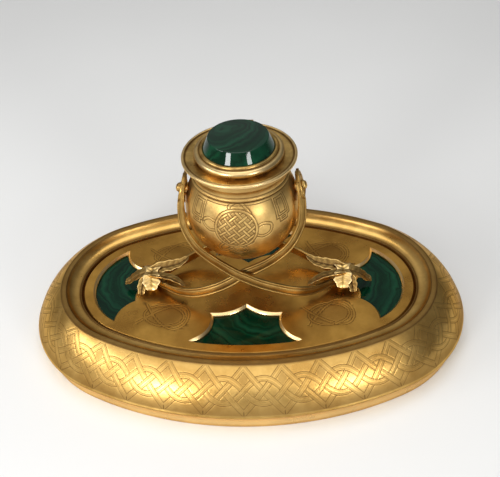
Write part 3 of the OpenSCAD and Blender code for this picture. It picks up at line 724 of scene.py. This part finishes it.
def assemble(name, node, material, parts, mirror_x=False, angle=40):
    """A piece of the stand from several parts, which can be mirrored to the other side."""
    if mirror_x:
        parts = [mirrored(part, 0) for part in parts]
    points, quads, tris, values = zip(*parts)
    starts = np.cumsum([0] + [len(p) for p in points])
    faces = [np.concatenate([f + start for f, start in zip(kind, starts)]) for kind in (quads, tris)]
    points, values = np.concatenate(points), np.concatenate(values)
    new_object(name, points, faces, material, "stand", node, values, angle)


def arch_placed(grid):
    """Points given about a ribbon's head plate, in the stand's frame."""
    lean = radians(90 - ARCH_LEAN)
    axes = [[cos(lean), 0, -sin(lean)], [0.0, 1.0, 0.0], [sin(lean), 0, cos(lean)]]
    return ARCH_C + grid @ np.array(axes)


def arch_turned(profile, shade):
    """Two parts turned about the head plates' axes; profile runs from pole to pole."""
    grid = arch_placed(turned(profile[1:-1], 64))
    part = tube_part(grid, np.repeat(shade[1:-1, None], 64, 1), True)
    part[0][-2:] = arch_placed(np.column_stack([np.zeros((2, 2)), profile[[0, -1], 1]]))
    return [part, mirrored(part, 0)]


def bar(outline, x0, x1):
    """A bar along X with the given outline in Y and Z and eased ends."""
    ease, middle = 0.25, np.mean(outline, 0)
    small = 1 - ease / np.abs(outline - middle).max()
    rings = [
        np.column_stack([np.full(len(outline), x), middle + (outline - middle) * scale])
        for x, scale in ((x0, small), (x0 + ease, 1), (x1 - ease, 1), (x1, small))
    ]
    return tube_part(np.array(rings), np.zeros((4, len(outline))), True)


def knuckle(x0, x1):
    return bar(ellipse(HINGE_Y, HINGE_Z, KNUCKLE_R, KNUCKLE_R, 0, 48), x0, x1)


# ---------------------------------------------------------------- turned pieces
def lathe(name, node, material, body, profile, count, dark=0.0, relief=None, angle=40, extra=()):
    """A turned solid. profile goes round the section, or from pole to pole on the axis.

    relief gives how far points move outwards and how dark they get, as patina in cuts and painted shade.
    extra holds more parts."""
    profile = np.asarray(profile, float)
    grid = turned(profile, count, -pi / 2)
    dark = np.zeros(grid.shape[:2]) + np.reshape(dark, (-1, 1))
    if relief:
        move, more = relief(full_turn(count, -pi / 2)[None], profile, arc_length(profile)[:, None])
        grid += grid_normals(grid) * move[..., None]
        dark = np.maximum(dark, more)
    poles = [i for i in (0, len(profile) - 1) if profile[i, 0] < 1e-6]
    rows = [i for i in range(len(profile)) if i not in poles]
    points, dark = grid[rows].reshape(-1, 3), dark[rows].ravel()
    faces = [grid_faces(len(rows), count, not poles)]
    for i in poles:
        faces.append(fan((len(rows) - 1) * count * (i > 0), count, len(points), i == 0))
        points, dark = np.concatenate([points, [[0, 0, profile[i, 1]]]]), np.append(dark, 0)
    for more_points, quads, tris, values in extra:
        faces += [quads + len(points), tris + len(points)]
        points, dark = np.concatenate([points, more_points]), np.concatenate([dark, values])
    new_object(name, points, faces, material, body, node, dark, angle)


def dark_at(profile, *spots, width):
    """Dark shade in the corners of a profile, at spots of (radius, height, strength)."""
    gaps = [((profile[:, 0] - r) ** 2 + (profile[:, 1] - z) ** 2, strength) for r, z, strength in spots]
    return np.max([strength * np.exp(-(gap / width)) for gap, strength in gaps], 0)


def pot_outline(off, n):
    """The pot's profile from its lowest point to its neck, at off inside the surface."""
    wide, shoulder = POT_R - off, (33.4 - off, POT_TOP - 5.2)
    lower = bezier([(0, POT_Z + off), (10.9, POT_Z + off), (wide, 78.2 + off / 2), (wide, POT_BELT)], n)
    upper = bezier([(wide, POT_BELT), (wide, POT_BELT + 8.5), shoulder, (NECK_R - off, POT_TOP)], n // 2)
    return np.concatenate([lower[:-1], upper])


POT_OUTLINE = pot_outline(0, 84)
POT_LENGTH = arc_length(POT_OUTLINE)[-1] + 0.01
# the medallion: place of its middle, its enlargement, its ring, and the lattice inside it
MED_X, MED_LENGTH, MED_SCALE, MED_R, MED_INNER = -2.2, 63.5, 1.13, 11.3, 10.4
LATTICE, LATTICE_X, LATTICE_Y = 3.7, 0.78, 0.62
MED_HALF, MED_LINE, MED_DEPTH = 0.76, 0.25, 0.2
# its strands, as way points about the middle of the ring
POT_KNOT = [
    *((0, 15.5), (-3.2, 12), (4, 4), (9, -2), (14, -5.5), (19, -4), (19.5, 0.5), (14, 2), (8, -1.5)),
    *((1, -8.5), (-4, -13.5), (-8, -16), (-9.5, -12.5), (-4, -6.5), (2.5, 1), (8, 7), (5.5, 12.5)),
    (2.5, 15.5),
]
POT_CROSS = [
    *((-19.5, 1.5), (-15.5, 4.5), (-9.5, 3.4), (-2.5, 7), (3.5, 11), (7, 7.5), (1, 0.5), (-5, -6)),
    *((-3, -12.5), (1.5, -17), (5.5, -14.5), (2, -9), (-3.5, -2), (-8.5, 4.5), (-5, 9.5), (0.5, 3.5)),
    *((6, -3.5), (8.5, -8.5), (3.5, -7.5), (-3, -1.8), (-9, -1.2), (-15.5, -2.2)),
]
# the stepped tabs under the collar: where, and half their sizes, on a circle of TAB_R
TAB_R, TAB_X, TAB_LENGTH, TAB_HALF = 33.5, 28, 72.5, (5.2, 7.4)
NOTCH_UP, NOTCH_HALF = 8, (3.0, 2.2)
TAB_LINE, TAB_INSETS, TAB_DEPTH, RUN_LENGTH, RUN_LINE = 0.32, (0, 1.5, 3.0), 0.15, 79.0, 0.25


def rounded_way(points):
    """A closed smooth strand through way points."""
    loop = np.array(points[-1:] + points + points[:2], float)
    return along(loop, np.linspace(1, len(points) + 1, 10 * len(points), endpoint=False))


def pot_relief(angle, profile, length):
    """Medallion with loops on the front and the back, and stepped tabs under the collar."""
    outer, z = length < POT_LENGTH, profile[:, 1:]
    move, dark = np.zeros((2, len(profile), angle.shape[1]))
    strands = (rounded_way(POT_KNOT), 8, 0.1), (rounded_way(POT_CROSS), 7, 0.35)
    for facing in (-pi / 2, pi / 2):
        turn = (angle - facing + pi) % (2 * pi) - pi
        x = (turn * np.maximum(profile[:, :1], 20) - MED_X) / MED_SCALE
        y = (length - MED_LENGTH + 0 * turn) / MED_SCALE
        near = (np.abs(x) < 22) & (np.abs(y) < 18) & outer
        x, y = x[near], y[near]
        spot = np.hypot(x, y)
        dist, over = strand_fields(x, y, strands)
        dist = [np.where(spot > MED_R - 0.1, d, 9) for d in dist]
        # a lattice of slanting bands fills the ring, and passes over and under by turns
        steps = (
            (x * LATTICE_X + y * LATTICE_Y) / LATTICE + 0.2,
            (y * LATTICE_X - x * LATTICE_Y) / LATTICE + 0.4,
        )
        for (a, b), sign in zip((steps, steps[::-1]), (1, -1)):
            nearest = np.round(a)
            dist.append(np.where(spot < MED_R - 0.1, np.abs(a - nearest) * LATTICE, 9))
            over.append(sign * np.cos(pi * (nearest + b)))
        dist.append(np.abs(spot - MED_R))
        over.append(np.full(spot.shape, 2.0))
        on, cut, depth = strand_height(dist, over, MED_HALF, MED_LINE, MED_DEPTH)
        move[near] -= depth
        dark[near] = np.maximum(cut, np.where((spot < MED_INNER) & ~on, 0.45, 0))
        # a line under the collar that drops into a stepped tab at each side
        for side in (-1, 1):
            reach = side * (turn * TAB_R)
            tx, ty = np.abs(reach - TAB_X), length - TAB_LENGTH + 0 * turn
            line = 0
            for inset in TAB_INSETS:
                tab = np.maximum(tx - TAB_HALF[0], np.abs(ty) - TAB_HALF[1]) + inset
                notch = np.maximum(tx - NOTCH_HALF[0], np.abs(ty + NOTCH_UP) - NOTCH_HALF[1]) + inset
                line = np.maximum(line, ridge(np.minimum(tab, notch), TAB_LINE) * (ty < 6.6))
            run = ridge(length - RUN_LENGTH, RUN_LINE) * (reach < 23) * (reach > 0)
            line = np.maximum(np.where(tx < 7, line, 0), run) * outer
            move -= TAB_DEPTH * line
            dark = np.maximum(dark, line)
    # a dark joint under the collar, and a painted shade over the shoulder below it
    neck = 0.85 * ridge(z - POT_TOP, 0.7) + 0.3 * smooth(z, 114, POT_TOP)
    return move, np.maximum(dark, neck * outer)


def pot():
    inner = pot_outline(2.2, 30)[::-1]
    profile = np.concatenate([resample(POT_OUTLINE, 0.45), resample(inner, 3)])
    lug = [(0, -LUG_L), (4.0, -LUG_L), (4.2, 0.2 - LUG_L), (4.2, -1.5), (4.0, -1.25), (0, -1.25)]
    lug = resample(lug, 1.2)
    lugs = arch_turned(lug, np.zeros(len(lug)))
    lathe("pot", "pot_body", gold_pot, "stand", profile, 560, relief=pot_relief, extra=lugs)


def collar():
    bore, seat, top_r, low = 23.0, 25.6, NECK_R + 1.3, POT_TOP - 3.2
    shape = [
        *((bore, low), (26.6, low), (26.6, POT_TOP), (NECK_R + 0.2, POT_TOP)),
        *arc((NECK_R + 0.4, POT_TOP + 0.3), (NECK_R + 0.5, POT_TOP + 2.5), 0.7, 8),
        *arc((NECK_R + 0.1, POT_TOP + 3), (top_r, COLLAR_Z - 5.2), -0.5, 8),
        *((top_r, COLLAR_Z - 0.6), (top_r - 0.6, COLLAR_Z), (seat, COLLAR_Z)),
        *((seat, COLLAR_SEAT_Z), (bore, COLLAR_SEAT_Z)),
    ]
    profile = smooth_ring(shape, 0.25, 0.6)
    spots = (NECK_R + 0.3, POT_TOP, 0.9), (NECK_R + 0.1, POT_TOP + 2.8, 0.95), (top_r, COLLAR_Z, 0.3)
    dark = np.maximum(dark_at(profile, *spots, width=0.3), 0.24)
    # the hinge block, with a knuckle at each side of the lid's own
    z0, z1, inner, back = COLLAR_Z - 5, COLLAR_Z - 0.8, 29.4, HINGE_Y + 1.2

    def slab(y1):
        return round_corners([[inner, z0], [y1, z0], [y1, z1], [inner, z1]], 0.5, True)

    parts = [bar(slab(33.6), -3.6, 3.6)]
    for x0, x1 in ((-7.6, -3.3), (3.3, 7.6)):
        parts += [bar(slab(back), x0, x1), knuckle(x0, x1)]
    lathe("collar", "pot_collar", gold_pot, "stand", profile, 300, dark, extra=parts)


def lid_plate():
    # the saucer's upper side, as distances inside the edge and heights over the plate's underside
    shape = [
        *((1.4, 0), (0.3, 0.3), (0, 0.8), (0, 1.8), (0.4, 2.3), (1.1, 2.4), (1.7, 2.2), (1.9, 1.55)),
        *((2.6, 1.5), (3.0, 1.75), (5, 1.5), (LID_R - 28, PLATE_T), (LID_R, PLATE_T)),
    ]
    shape = [(0, PLATE_Z)] + [(LID_R - x, PLATE_Z + z) for x, z in shape]
    profile = resample(round_corners(shape, 0.3), 0.7)
    # a painted highlight along the bead at the plate's outer edge
    bead_highlight = 0.5 * (profile[:, 0] > LID_R - 1.5) * (profile[:, 1] > PLATE_Z + 0.5)
    spots = (27.0, PLATE_Z + PLATE_T, 0.8), (LID_R - 2.2, PLATE_Z + 1.5, 0.95)

    def turning_marks(angle, prof, length):
        top = (prof[:, 1:] > PLATE_Z + 1.2) & (prof[:, :1] > 27)
        wave = 0.012 * np.sin(prof[:, :1] * 9.0) * top + 0 * angle
        return wave, np.full(wave.shape, -1.0)

    back_arm = round_corners([[31, 140], [HINGE_Y, 140], [HINGE_Y, 141.5], [31, 141.5]], 0.3, True)
    parts = [bar(back_arm, -3, 3), knuckle(-3, 3)]
    dark = dark_at(profile, *spots, width=0.35) - bead_highlight
    lathe("lid_plate", "lid_flange", gold_lid, "lid", profile, 300, dark, turning_marks, extra=parts)


def lid_bezel():
    seat, base = STONE_R + 0.1, PLATE_Z + PLATE_T
    torus = arc((26.6, base + 0.7), (24.6, 146.0), 2.0, 14)
    shape = [(seat, base), (26.4, base), *torus, (24.1, 146.1), (23.9, 146.9), (23.4, 147.4), (seat, 147.4)]
    profile = smooth_ring(shape, 0.25, 0.5)
    # painted highlight in bright gold over the torus's outer face
    rubbed_and_highlight = 0.55 * smooth(profile[:, 0], 24.4, 25.6)
    dark = dark_at(profile, (26.5, base + 0.2, 0.85), (24.3, 146.1, 0.9), width=0.25) - rubbed_and_highlight
    lathe("lid_bezel", "lid_ring", gold_lid, "lid", profile, 280, dark)


def skirt():
    r, seat, hem, top = 19.6, PLATE_Z - 1.6, PLATE_Z - 4.4, PLATE_Z - 0.02
    shape = [(0, seat), (r - 2, seat), (r - 2, hem), (r - 0.4, hem), (r, PLATE_Z - 4), (r, top), (0, top)]
    lathe("lid_collar", "lid_skirt", gold_lid, "lid", resample(round_corners(shape, 0.3), 1.2), 200)


def lid_disc(material):
    """The lid's stone: a seat, a bevel and a slight dome."""
    dome = (STONE_TOP_R**2 + STONE_DOME**2) / (2 * STONE_DOME)
    base, top_z = PLATE_Z + PLATE_T, STONE_EDGE_Z + STONE_DOME
    turns = [asin(STONE_TOP_R / dome) * i / 14 for i in range(14, -1, -1)]
    shape = [(0, base), (STONE_R, base), (STONE_R, 147.3), (STONE_TOP_R + 0.25, STONE_EDGE_Z - 0.5)]
    shape += [(dome * sin(a), top_z - dome * (1 - cos(a))) for a in turns]
    profile = resample(round_corners(shape, 0.5), 1.0)
    profile[profile[:, 0] < 1e-6, 0] = 0
    lathe("lid_disc", "lid_stone", material, "lid", profile, 200, angle=35)


def liner(material):
    r, inner, low, lip_r, top = 22.6, 20.6, 92, 25.3, COLLAR_Z - 0.3
    shape = [
        *((0, low), (inner, low), (r, low + 2), (r, COLLAR_SEAT_Z), (lip_r, COLLAR_SEAT_Z), (lip_r, top)),
        *((inner, top), (inner, low + 4), (inner - 2, low + 2.4), (0, low + 2.4)),
    ]
    lathe("liner", "ink_liner", material, "stand", resample(round_corners(shape, 0.7, steps=4), 3), 160)


# ---------------------------------------------------------------- ribbons
# way points of a leg from the head plate to the leaf, and the direction its face looks in
LEG_WAY = np.array([
    *((35.4, -4.4, 123.5), (37.3, -7.8, 115.6), (37.8, -11.2, 106.7), (36.4, -15.2, 96.5)),
    *((30.1, -19.8, 85.2), (20.3, -22.3, 76.1), (8.5, -22.2, 66.5), (-1.3, -22.4, 60.8)),
    *((-11.5, -22.8, 54.6), (-23.3, -22.6, 49.3), (-34.3, -20.6, 44.9), (-45, -15.8, 41.4)),
    *((-54.3, -9.2, 39.8), (-63, -2.4, 39.1)),
])
LEG_FACE = np.array([
    *((0.966, 0, 0.26), (0.9, -0.36, 0.24), (0.76, -0.62, 0.18), (0.68, -0.72, 0.12), (0.56, -0.82, 0.12)),
    *((0.36, -0.92, 0.14), (0.16, -0.97, 0.16), (0, -0.97, 0.18), (-0.03, -0.97, 0.22), (-0.06, -0.96, 0.26)),
    *((-0.2, -0.94, 0.24), (-0.4, -0.9, 0.16), (-0.6, -0.8, 0.05), (-0.7, -0.7, 0)),
])
REEDS = (-0.8, 0.2, 1.0), (0.0, 0.5, 0.85), (0.8, 0.2, 1.0)  # middle, half width and height
NARROWING = 12.6, 2.4  # the way point where a leg reaches its end width, and over how many


def ribbon_section():
    """A reeded strip's section in half widths and thicknesses, with its darkness."""
    w = np.linspace(1, -1, 41)
    reed = np.max([h * np.sqrt(1 - np.clip((w - c) / half, -1, 1) ** 2) for c, half, h in REEDS], 0)
    back = [[-1, 0.15], [-0.93, 0.03], [-0.5, 0], [0, 0], [0.5, 0], [0.93, 0.03], [1, 0.15], [1, 0.5]]
    section = np.concatenate([back, np.stack([w, 0.76 + 0.24 * reed], -1), [[-1, 0.5]]])
    return section, np.concatenate([np.zeros(len(back)), 0.12 + 0.45 * (1 - reed) ** 3, [0]])


def ribbon_leg(out):
    last = len(LEG_WAY) - 1
    s = np.clip(np.linspace(0, last, 260), 0.06, last - 0.06)
    way, tangent, face = along(LEG_WAY, s), tangents(LEG_WAY, s), along(LEG_FACE, s)
    way[:, 1] -= PASS_GAP * out * ridge(way[:, 0], 13)
    wide = RIBBON_END_W + (RIBBON_W - RIBBON_END_W) * np.clip((NARROWING[0] - s) / NARROWING[1], 0, 1)
    face = unit(face - (face * tangent).sum(1, keepdims=True) * tangent)
    side = np.cross(tangent, face)
    section, shade = ribbon_section()
    grid = way[:, None] + side[:, None] * section[None, :, :1] * wide[:, None, None] / 2
    grid += face[:, None] * (section[None, :, 1:] - 0.5) * RIBBON_T
    return tube_part(grid, np.repeat(shade[None], len(s), 0), False)


# the reeded edge of a head plate: inset, height in thicknesses, and shade
ARCH_STEPS = (
    *((0.0, -0.5, 0), (0.0, 0.3, 0), (0.25, 0.5, 0), (0.9, 0.5, 0), (1.15, 0.36, 0.7), (1.5, 0.36, 0.7)),
    *((1.75, 0.5, 0), (2.4, 0.5, 0), (2.65, 0.36, 0.7), (3.0, 0.36, 0.7), (3.25, 0.46, 0), (3.9, 0.46, 0.1)),
)
NOTCH_R = 5.0


def arch_plate():
    """The ribbon's head plate: a disc with a notch between the legs, reeded round its edge."""
    tip = max(crossings((0, 0), ARCH_R, (ARCH_R, 0), NOTCH_R), key=lambda p: p[1])
    t = np.linspace(atan2(tip[1], tip[0]), 2 * pi - atan2(tip[1], tip[0]), 160)
    outer = ARCH_R * np.stack([np.cos(t), np.sin(t)], -1)
    outline = np.concatenate([outer, arc_about((ARCH_R, 0), outer[-1], outer[0], 40)[1:-1]])
    inward = unit(np.array([-0.5, 0.0]) - outline)
    inset, height, shade = np.array(ARCH_STEPS)[..., None].transpose(1, 0, 2)
    height = np.repeat(height * ARCH_T, len(outline), 1)[..., None]
    grid = np.concatenate([outline + inward * inset[..., None], height], -1)
    return tube_part(arch_placed(grid), np.repeat(shade, len(outline), 1), False)


def ribbon(name, node, out, mirror_x):
    """A ribbon: two legs, its head plate, and a collar for the stud at its leaf."""
    leg, half = ribbon_leg(out), 3.0
    shape = [[1.5, -half], [4.1, -half], [4.5, 0.4 - half], [4.5, half - 0.4], [4.1, half], [1.5, half]]
    stud_collar = turned(smooth_ring(shape, 0.25, 0.8), 72) + [-LEAF_X, 0, RIBBON_END_Z]
    parts = [leg, mirrored(leg, 1), arch_plate(), ring_part(stud_collar, 0)]
    assemble(name, node, gold_ribbon, parts, mirror_x, 35)


def studs():
    low = ARCH_T / 2
    shape = [(0, low), (3.3, low), (3.42, low + 0.35), (3.3, low + 0.7), (2.95, low + 0.72), (2.9, low + 0.9)]
    shape += [(2.85 * cos(t), low + 0.95 + 1.85 * sin(t)) for t in np.linspace(0, pi / 2, 16)]
    profile = resample(shape, 0.4)
    profile[profile[:, 0] < 1e-6, 0] = 0
    shade = dark_at(profile, (2.95, low + 0.8, 0.9), width=0.08)
    assemble("side_studs", "handle_studs", gold_leaf, arch_turned(profile, shade))


# ---------------------------------------------------------------- leaves
def lobe(way, size, side, top_highlight=0.0, vein=0.5, cup=0.9):
    """A leaf lobe: a thin blade along a way, creased along its middle, its edges curled up.

    size has half the width and the thickness at each way point. The edges get a painted highlight in bright
    gold and the underside painted shade; the fourth argument paints a highlight over the whole upper side
    when above 0, and shade when below 0."""
    rows, around, last = 64, 52, len(way) - 1
    s = np.clip(np.linspace(0, last, rows), 0.03, last - 0.02)
    p, t, half = along(way, s), tangents(way, s), along(size, s)
    wide = unit(np.array(side, float) - (t @ np.array(side, float))[:, None] * t)
    up = np.cross(t, wide)
    a = full_turn(around)
    x, y = np.cos(a), np.sin(a)
    blade = 0.62 * np.sign(y) * np.abs(y) ** 0.7 - vein * ridge(x, 0.14) * (y > 0) + cup * (x * x - 0.35)
    end = np.maximum(smooth(np.arange(rows)[::-1] / 5.0, 0, 1) ** 0.5, 0.05)
    half = half * np.stack([end * (1 + 0.07 * np.sin(7.5 * s)), end], -1)
    veins = 0.1 * np.sin(11 * (s[:, None] - 0.4 * np.abs(x)[None])) * (y > 0.2) * (1 - x * x)
    grid = p[:, None] + wide[:, None] * (half[:, :1] * x)[..., None]
    grid += up[:, None] * (half[:, 1:] * (blade + veins))[..., None]
    # painted highlight on the edges and painted shade on the underside; the dark midline and veins are patina
    # in the crease
    edge = smooth(np.abs(x), 0.74, 0.96)
    top = 0.7 * ridge(x, 0.12) + 0.38 - top_highlight - (0.7 - 0.4 * top_highlight) * edge
    dark = np.where(y > 0, top, 0.65 - 1.1 * edge) + np.maximum(-veins, 0) * 2.0
    return tube_part(grid, np.clip(dark, -0.8, 0.9), True)


def arm(x, y, *heights):
    """One of the two long lobes towards the pot, with its tip's place and its way points' heights."""
    way = np.column_stack([(68, 61, 53, 46.5, x), (-1, -4.4, -6.8, -9.4, y), heights])
    size = [(3.4, 1.4), (4.2, 1.3), (4.1, 1.2), (3.0, 1.1), (1.2, 0.8)]
    return lobe(way, size, (0.35, -0.85, 0.3), -0.12)


def leaf(name, node, mirror_x):
    """A leaf ornament: two long lobes towards the pot, two drooping pairs and one over the window."""
    front = arm(41.4, -12.4, 43.8, 46.0, 46.2, 44.6, 42.4)
    back = arm(41, -12.8, 43.8, 44.8, 44.9, 45.4, 47.6)
    droop_way = [(66, 1, 44.6), (65.6, -4.4, 45.6), (65.2, -9.0, 42.9), (65, -12.6, 39.4)]
    droop = lobe(droop_way, [(3.6, 1.5), (5.6, 1.4), (5.7, 1.3), (2.6, 1.0)], (1, 0, 0), 0.62, 0.2, 0.5)
    point_way = [(68, -3, 44), (70.6, -7.5, 43), (71.8, -11, 40.4), (72.2, -14.0, 37.2)]
    point = lobe(point_way, [(2.8, 1.2), (3.3, 1.2), (3.0, 1.1), (1.8, 0.8)], (1, 0.2, 0), -0.15)
    end_way = [(64, 0, 43.8), (71, 0, 44.4), (77, 0, 41.6), (82, 0, 37.4), (85.8, 0, 35.6)]
    end = lobe(end_way, [(3.6, 1.4), (4.8, 1.3), (5.0, 1.2), (4.2, 1.1), (2.0, 0.8)], (0, 1, 0))
    hub = smooth_ring([(0.9, 42.12), (4.4, 42.12), (4.3, 43.4), (3.8, 45.4), (0.9, 45.4)], 0.3, 0.8)
    hub = ring_part(turned(hub, 64) + [LEAF_X, 0, 0], 0.1)
    parts = [front, droop, point, *(mirrored(part, 1) for part in (back, droop, point)), end, hub]
    assemble(name, node, gold_leaf, parts, mirror_x)


# ---------------------------------------------------------------- build
border()
deck()
pot()
collar()
ribbon("ribbon_l", "ribbon_left", 1, True)
ribbon("ribbon_r", "ribbon_right", -1, False)
studs()
leaf("leaf_r", "leaf_right", False)
leaf("leaf_l", "leaf_left", True)
lid_plate()
lid_bezel()
skirt()
lid_disc(stone("malachite_lid", (-8, 6, 150), 26, 1.42))
liner(clear_glass())

# the CAD's own shapes stay in view for these nodes
for material, names in (
    (stone("malachite_right", (66, 0, 31), 22), ["plaque_right"]),
    (stone("malachite_left", (-70, 8, 31), 24), ["plaque_left"]),
    (stone("malachite_front", (14, -20, 31), 20), ["plaque_front"]),
    (stone("malachite_back", (-10, 24, 31), 20), ["plaque_back"]),
    (brass, ["backing_front", "backing_back", "backing_left", "backing_right", "deck_screws"]),
    (brass, ["leaf_studs", "leaf_washers", "leaf_nuts", "lid_screw"]),
    (gold_leaf, ["leaf_spacers"]),
    (steel, ["backing_screws", "hinge_pin"]),
):
    for name in names:
        mesh = frame["nodes"][name].data
        mesh.materials.clear()
        mesh.materials.append(material)


# ---------------------------------------------------------------- floor, light, camera
def floor():
    """A pale floor with a painted pool of light: its colour darkens with distance, so that it meets the grey
    of the horizon.
    """
    size, fall_off = 9.0, 4.0
    mesh = bpy.data.meshes.new("floor")
    corners = [(x * size, y * size, 0) for x, y in ((-1, -1), (1, -1), (1, 1), (-1, 1))]
    mesh.from_pydata(corners, [], [(0, 1, 2, 3)])
    obj = link("floor", mesh)
    obj.location.z = -0.0002
    mat, tree, bsdf = nodes_of("floor_white")
    pale = ramp(tree, noise(tree, 3.0, 2), (0.3, (0.82, 0.82, 0.81)), (0.7, (0.85, 0.85, 0.84)))
    away = add(tree, "VectorMath", {0: coords(tree)}, operation="LENGTH").outputs["Value"]
    # painted pool of light: the colour falls to about half with distance from the stand
    dimmed = ramp(tree, calc(tree, "DIVIDE", away, fall_off), (0.2, 1), (0.8, 0.48))
    plug(tree, bsdf, {"Base Color": mix(tree, 1.0, pale, dimmed, "MULTIPLY"), "Roughness": 0.9})
    mesh.materials.append(mat)


def world():
    """A plain grey studio: palest overhead, darker towards the horizon and on the right."""
    studio = bpy.data.worlds.new("studio")
    bpy.context.scene.world = studio
    studio.use_nodes = True
    tree = studio.node_tree
    tree.nodes.clear()
    axes = add(tree, "SeparateXYZ", {0: coords(tree, "Generated")})
    level = ramp(tree, axes.outputs[2], (0.0, 0.17), (0.2, 0.2), (0.45, 0.34), (0.7, 0.38), (1.0, 0.48))
    right = ramp(tree, axes.outputs[0], (0.0, 1), (0.6, 0.5))
    back = add(tree, "Background", {"Color": mix(tree, 1.0, level, right, "MULTIPLY"), "Strength": 1.0})
    add(tree, "OutputWorld", {0: back.outputs[0]})


def lamp(name, at, aim_z, size, power):
    """A white rectangular lamp, in metres, which looks at a height over the middle of the stand."""
    light = bpy.data.lights.new(name, "AREA")
    light.shape, light.energy = "RECTANGLE", power
    light.size, light.size_y = size
    obj = link(name, light)
    obj.location = at
    obj.rotation_euler = (Vector((0, 0, aim_z)) - Vector(at)).to_track_quat("-Z", "Y").to_euler()


def camera():
    """The photograph's view, as fitted: place, direction, roll and focal length."""
    focal, photo_width, sensor = 760.0, 500.0, 36.0  # in pixels, pixels and mm
    elevation, azimuth, roll = radians(40.127), radians(3.8418), radians(-3.4)
    aim, distance, across_by, up_by = Vector((0, 0, 30.0)), 532.3, 3.505, 33.6076
    back = Vector((cos(elevation) * sin(azimuth), -cos(elevation) * cos(azimuth), sin(elevation)))
    right = Vector((cos(azimuth), sin(azimuth), 0))
    up = back.cross(right)
    cam = bpy.data.cameras.new("photo_view")
    cam.sensor_fit = "HORIZONTAL"
    cam.sensor_width = sensor
    cam.lens = focal * sensor / photo_width
    cam.clip_start = 0.02
    obj = link("photo_view", cam)
    at = (aim + back * distance + right * across_by + up * up_by) * MM
    axes = Matrix((cos(roll) * right + sin(roll) * up, -sin(roll) * right + cos(roll) * up, back))
    obj.matrix_world = Matrix.Translation(at) @ axes.transposed().to_4x4()
    bpy.context.scene.camera = obj


floor()
world()
lamp("key_low", (0.06, -1.063, 0.79), 0.06, (2.2, 0.25), 3.2)
lamp("key_high", (0.06, -0.74, 1.117), 0.06, (2.2, 0.6), 4.4)
lamp("window_left", (-0.62, -0.99, 0.40), 0.12, (0.31, 0.25), 5.2)
lamp("window_right", (0.66, -0.98, 0.40), 0.12, (0.28, 0.23), 3.5)
lamp("fill_left", (-1.12, -0.42, 0.64), 0.08, (0.7, 0.34), 4.8)
lamp("top", (0, 0.15, 1.2), 0, (0.8, 0.8), 3.6)
camera()
bpy.context.scene.view_settings.view_transform = "Standard"
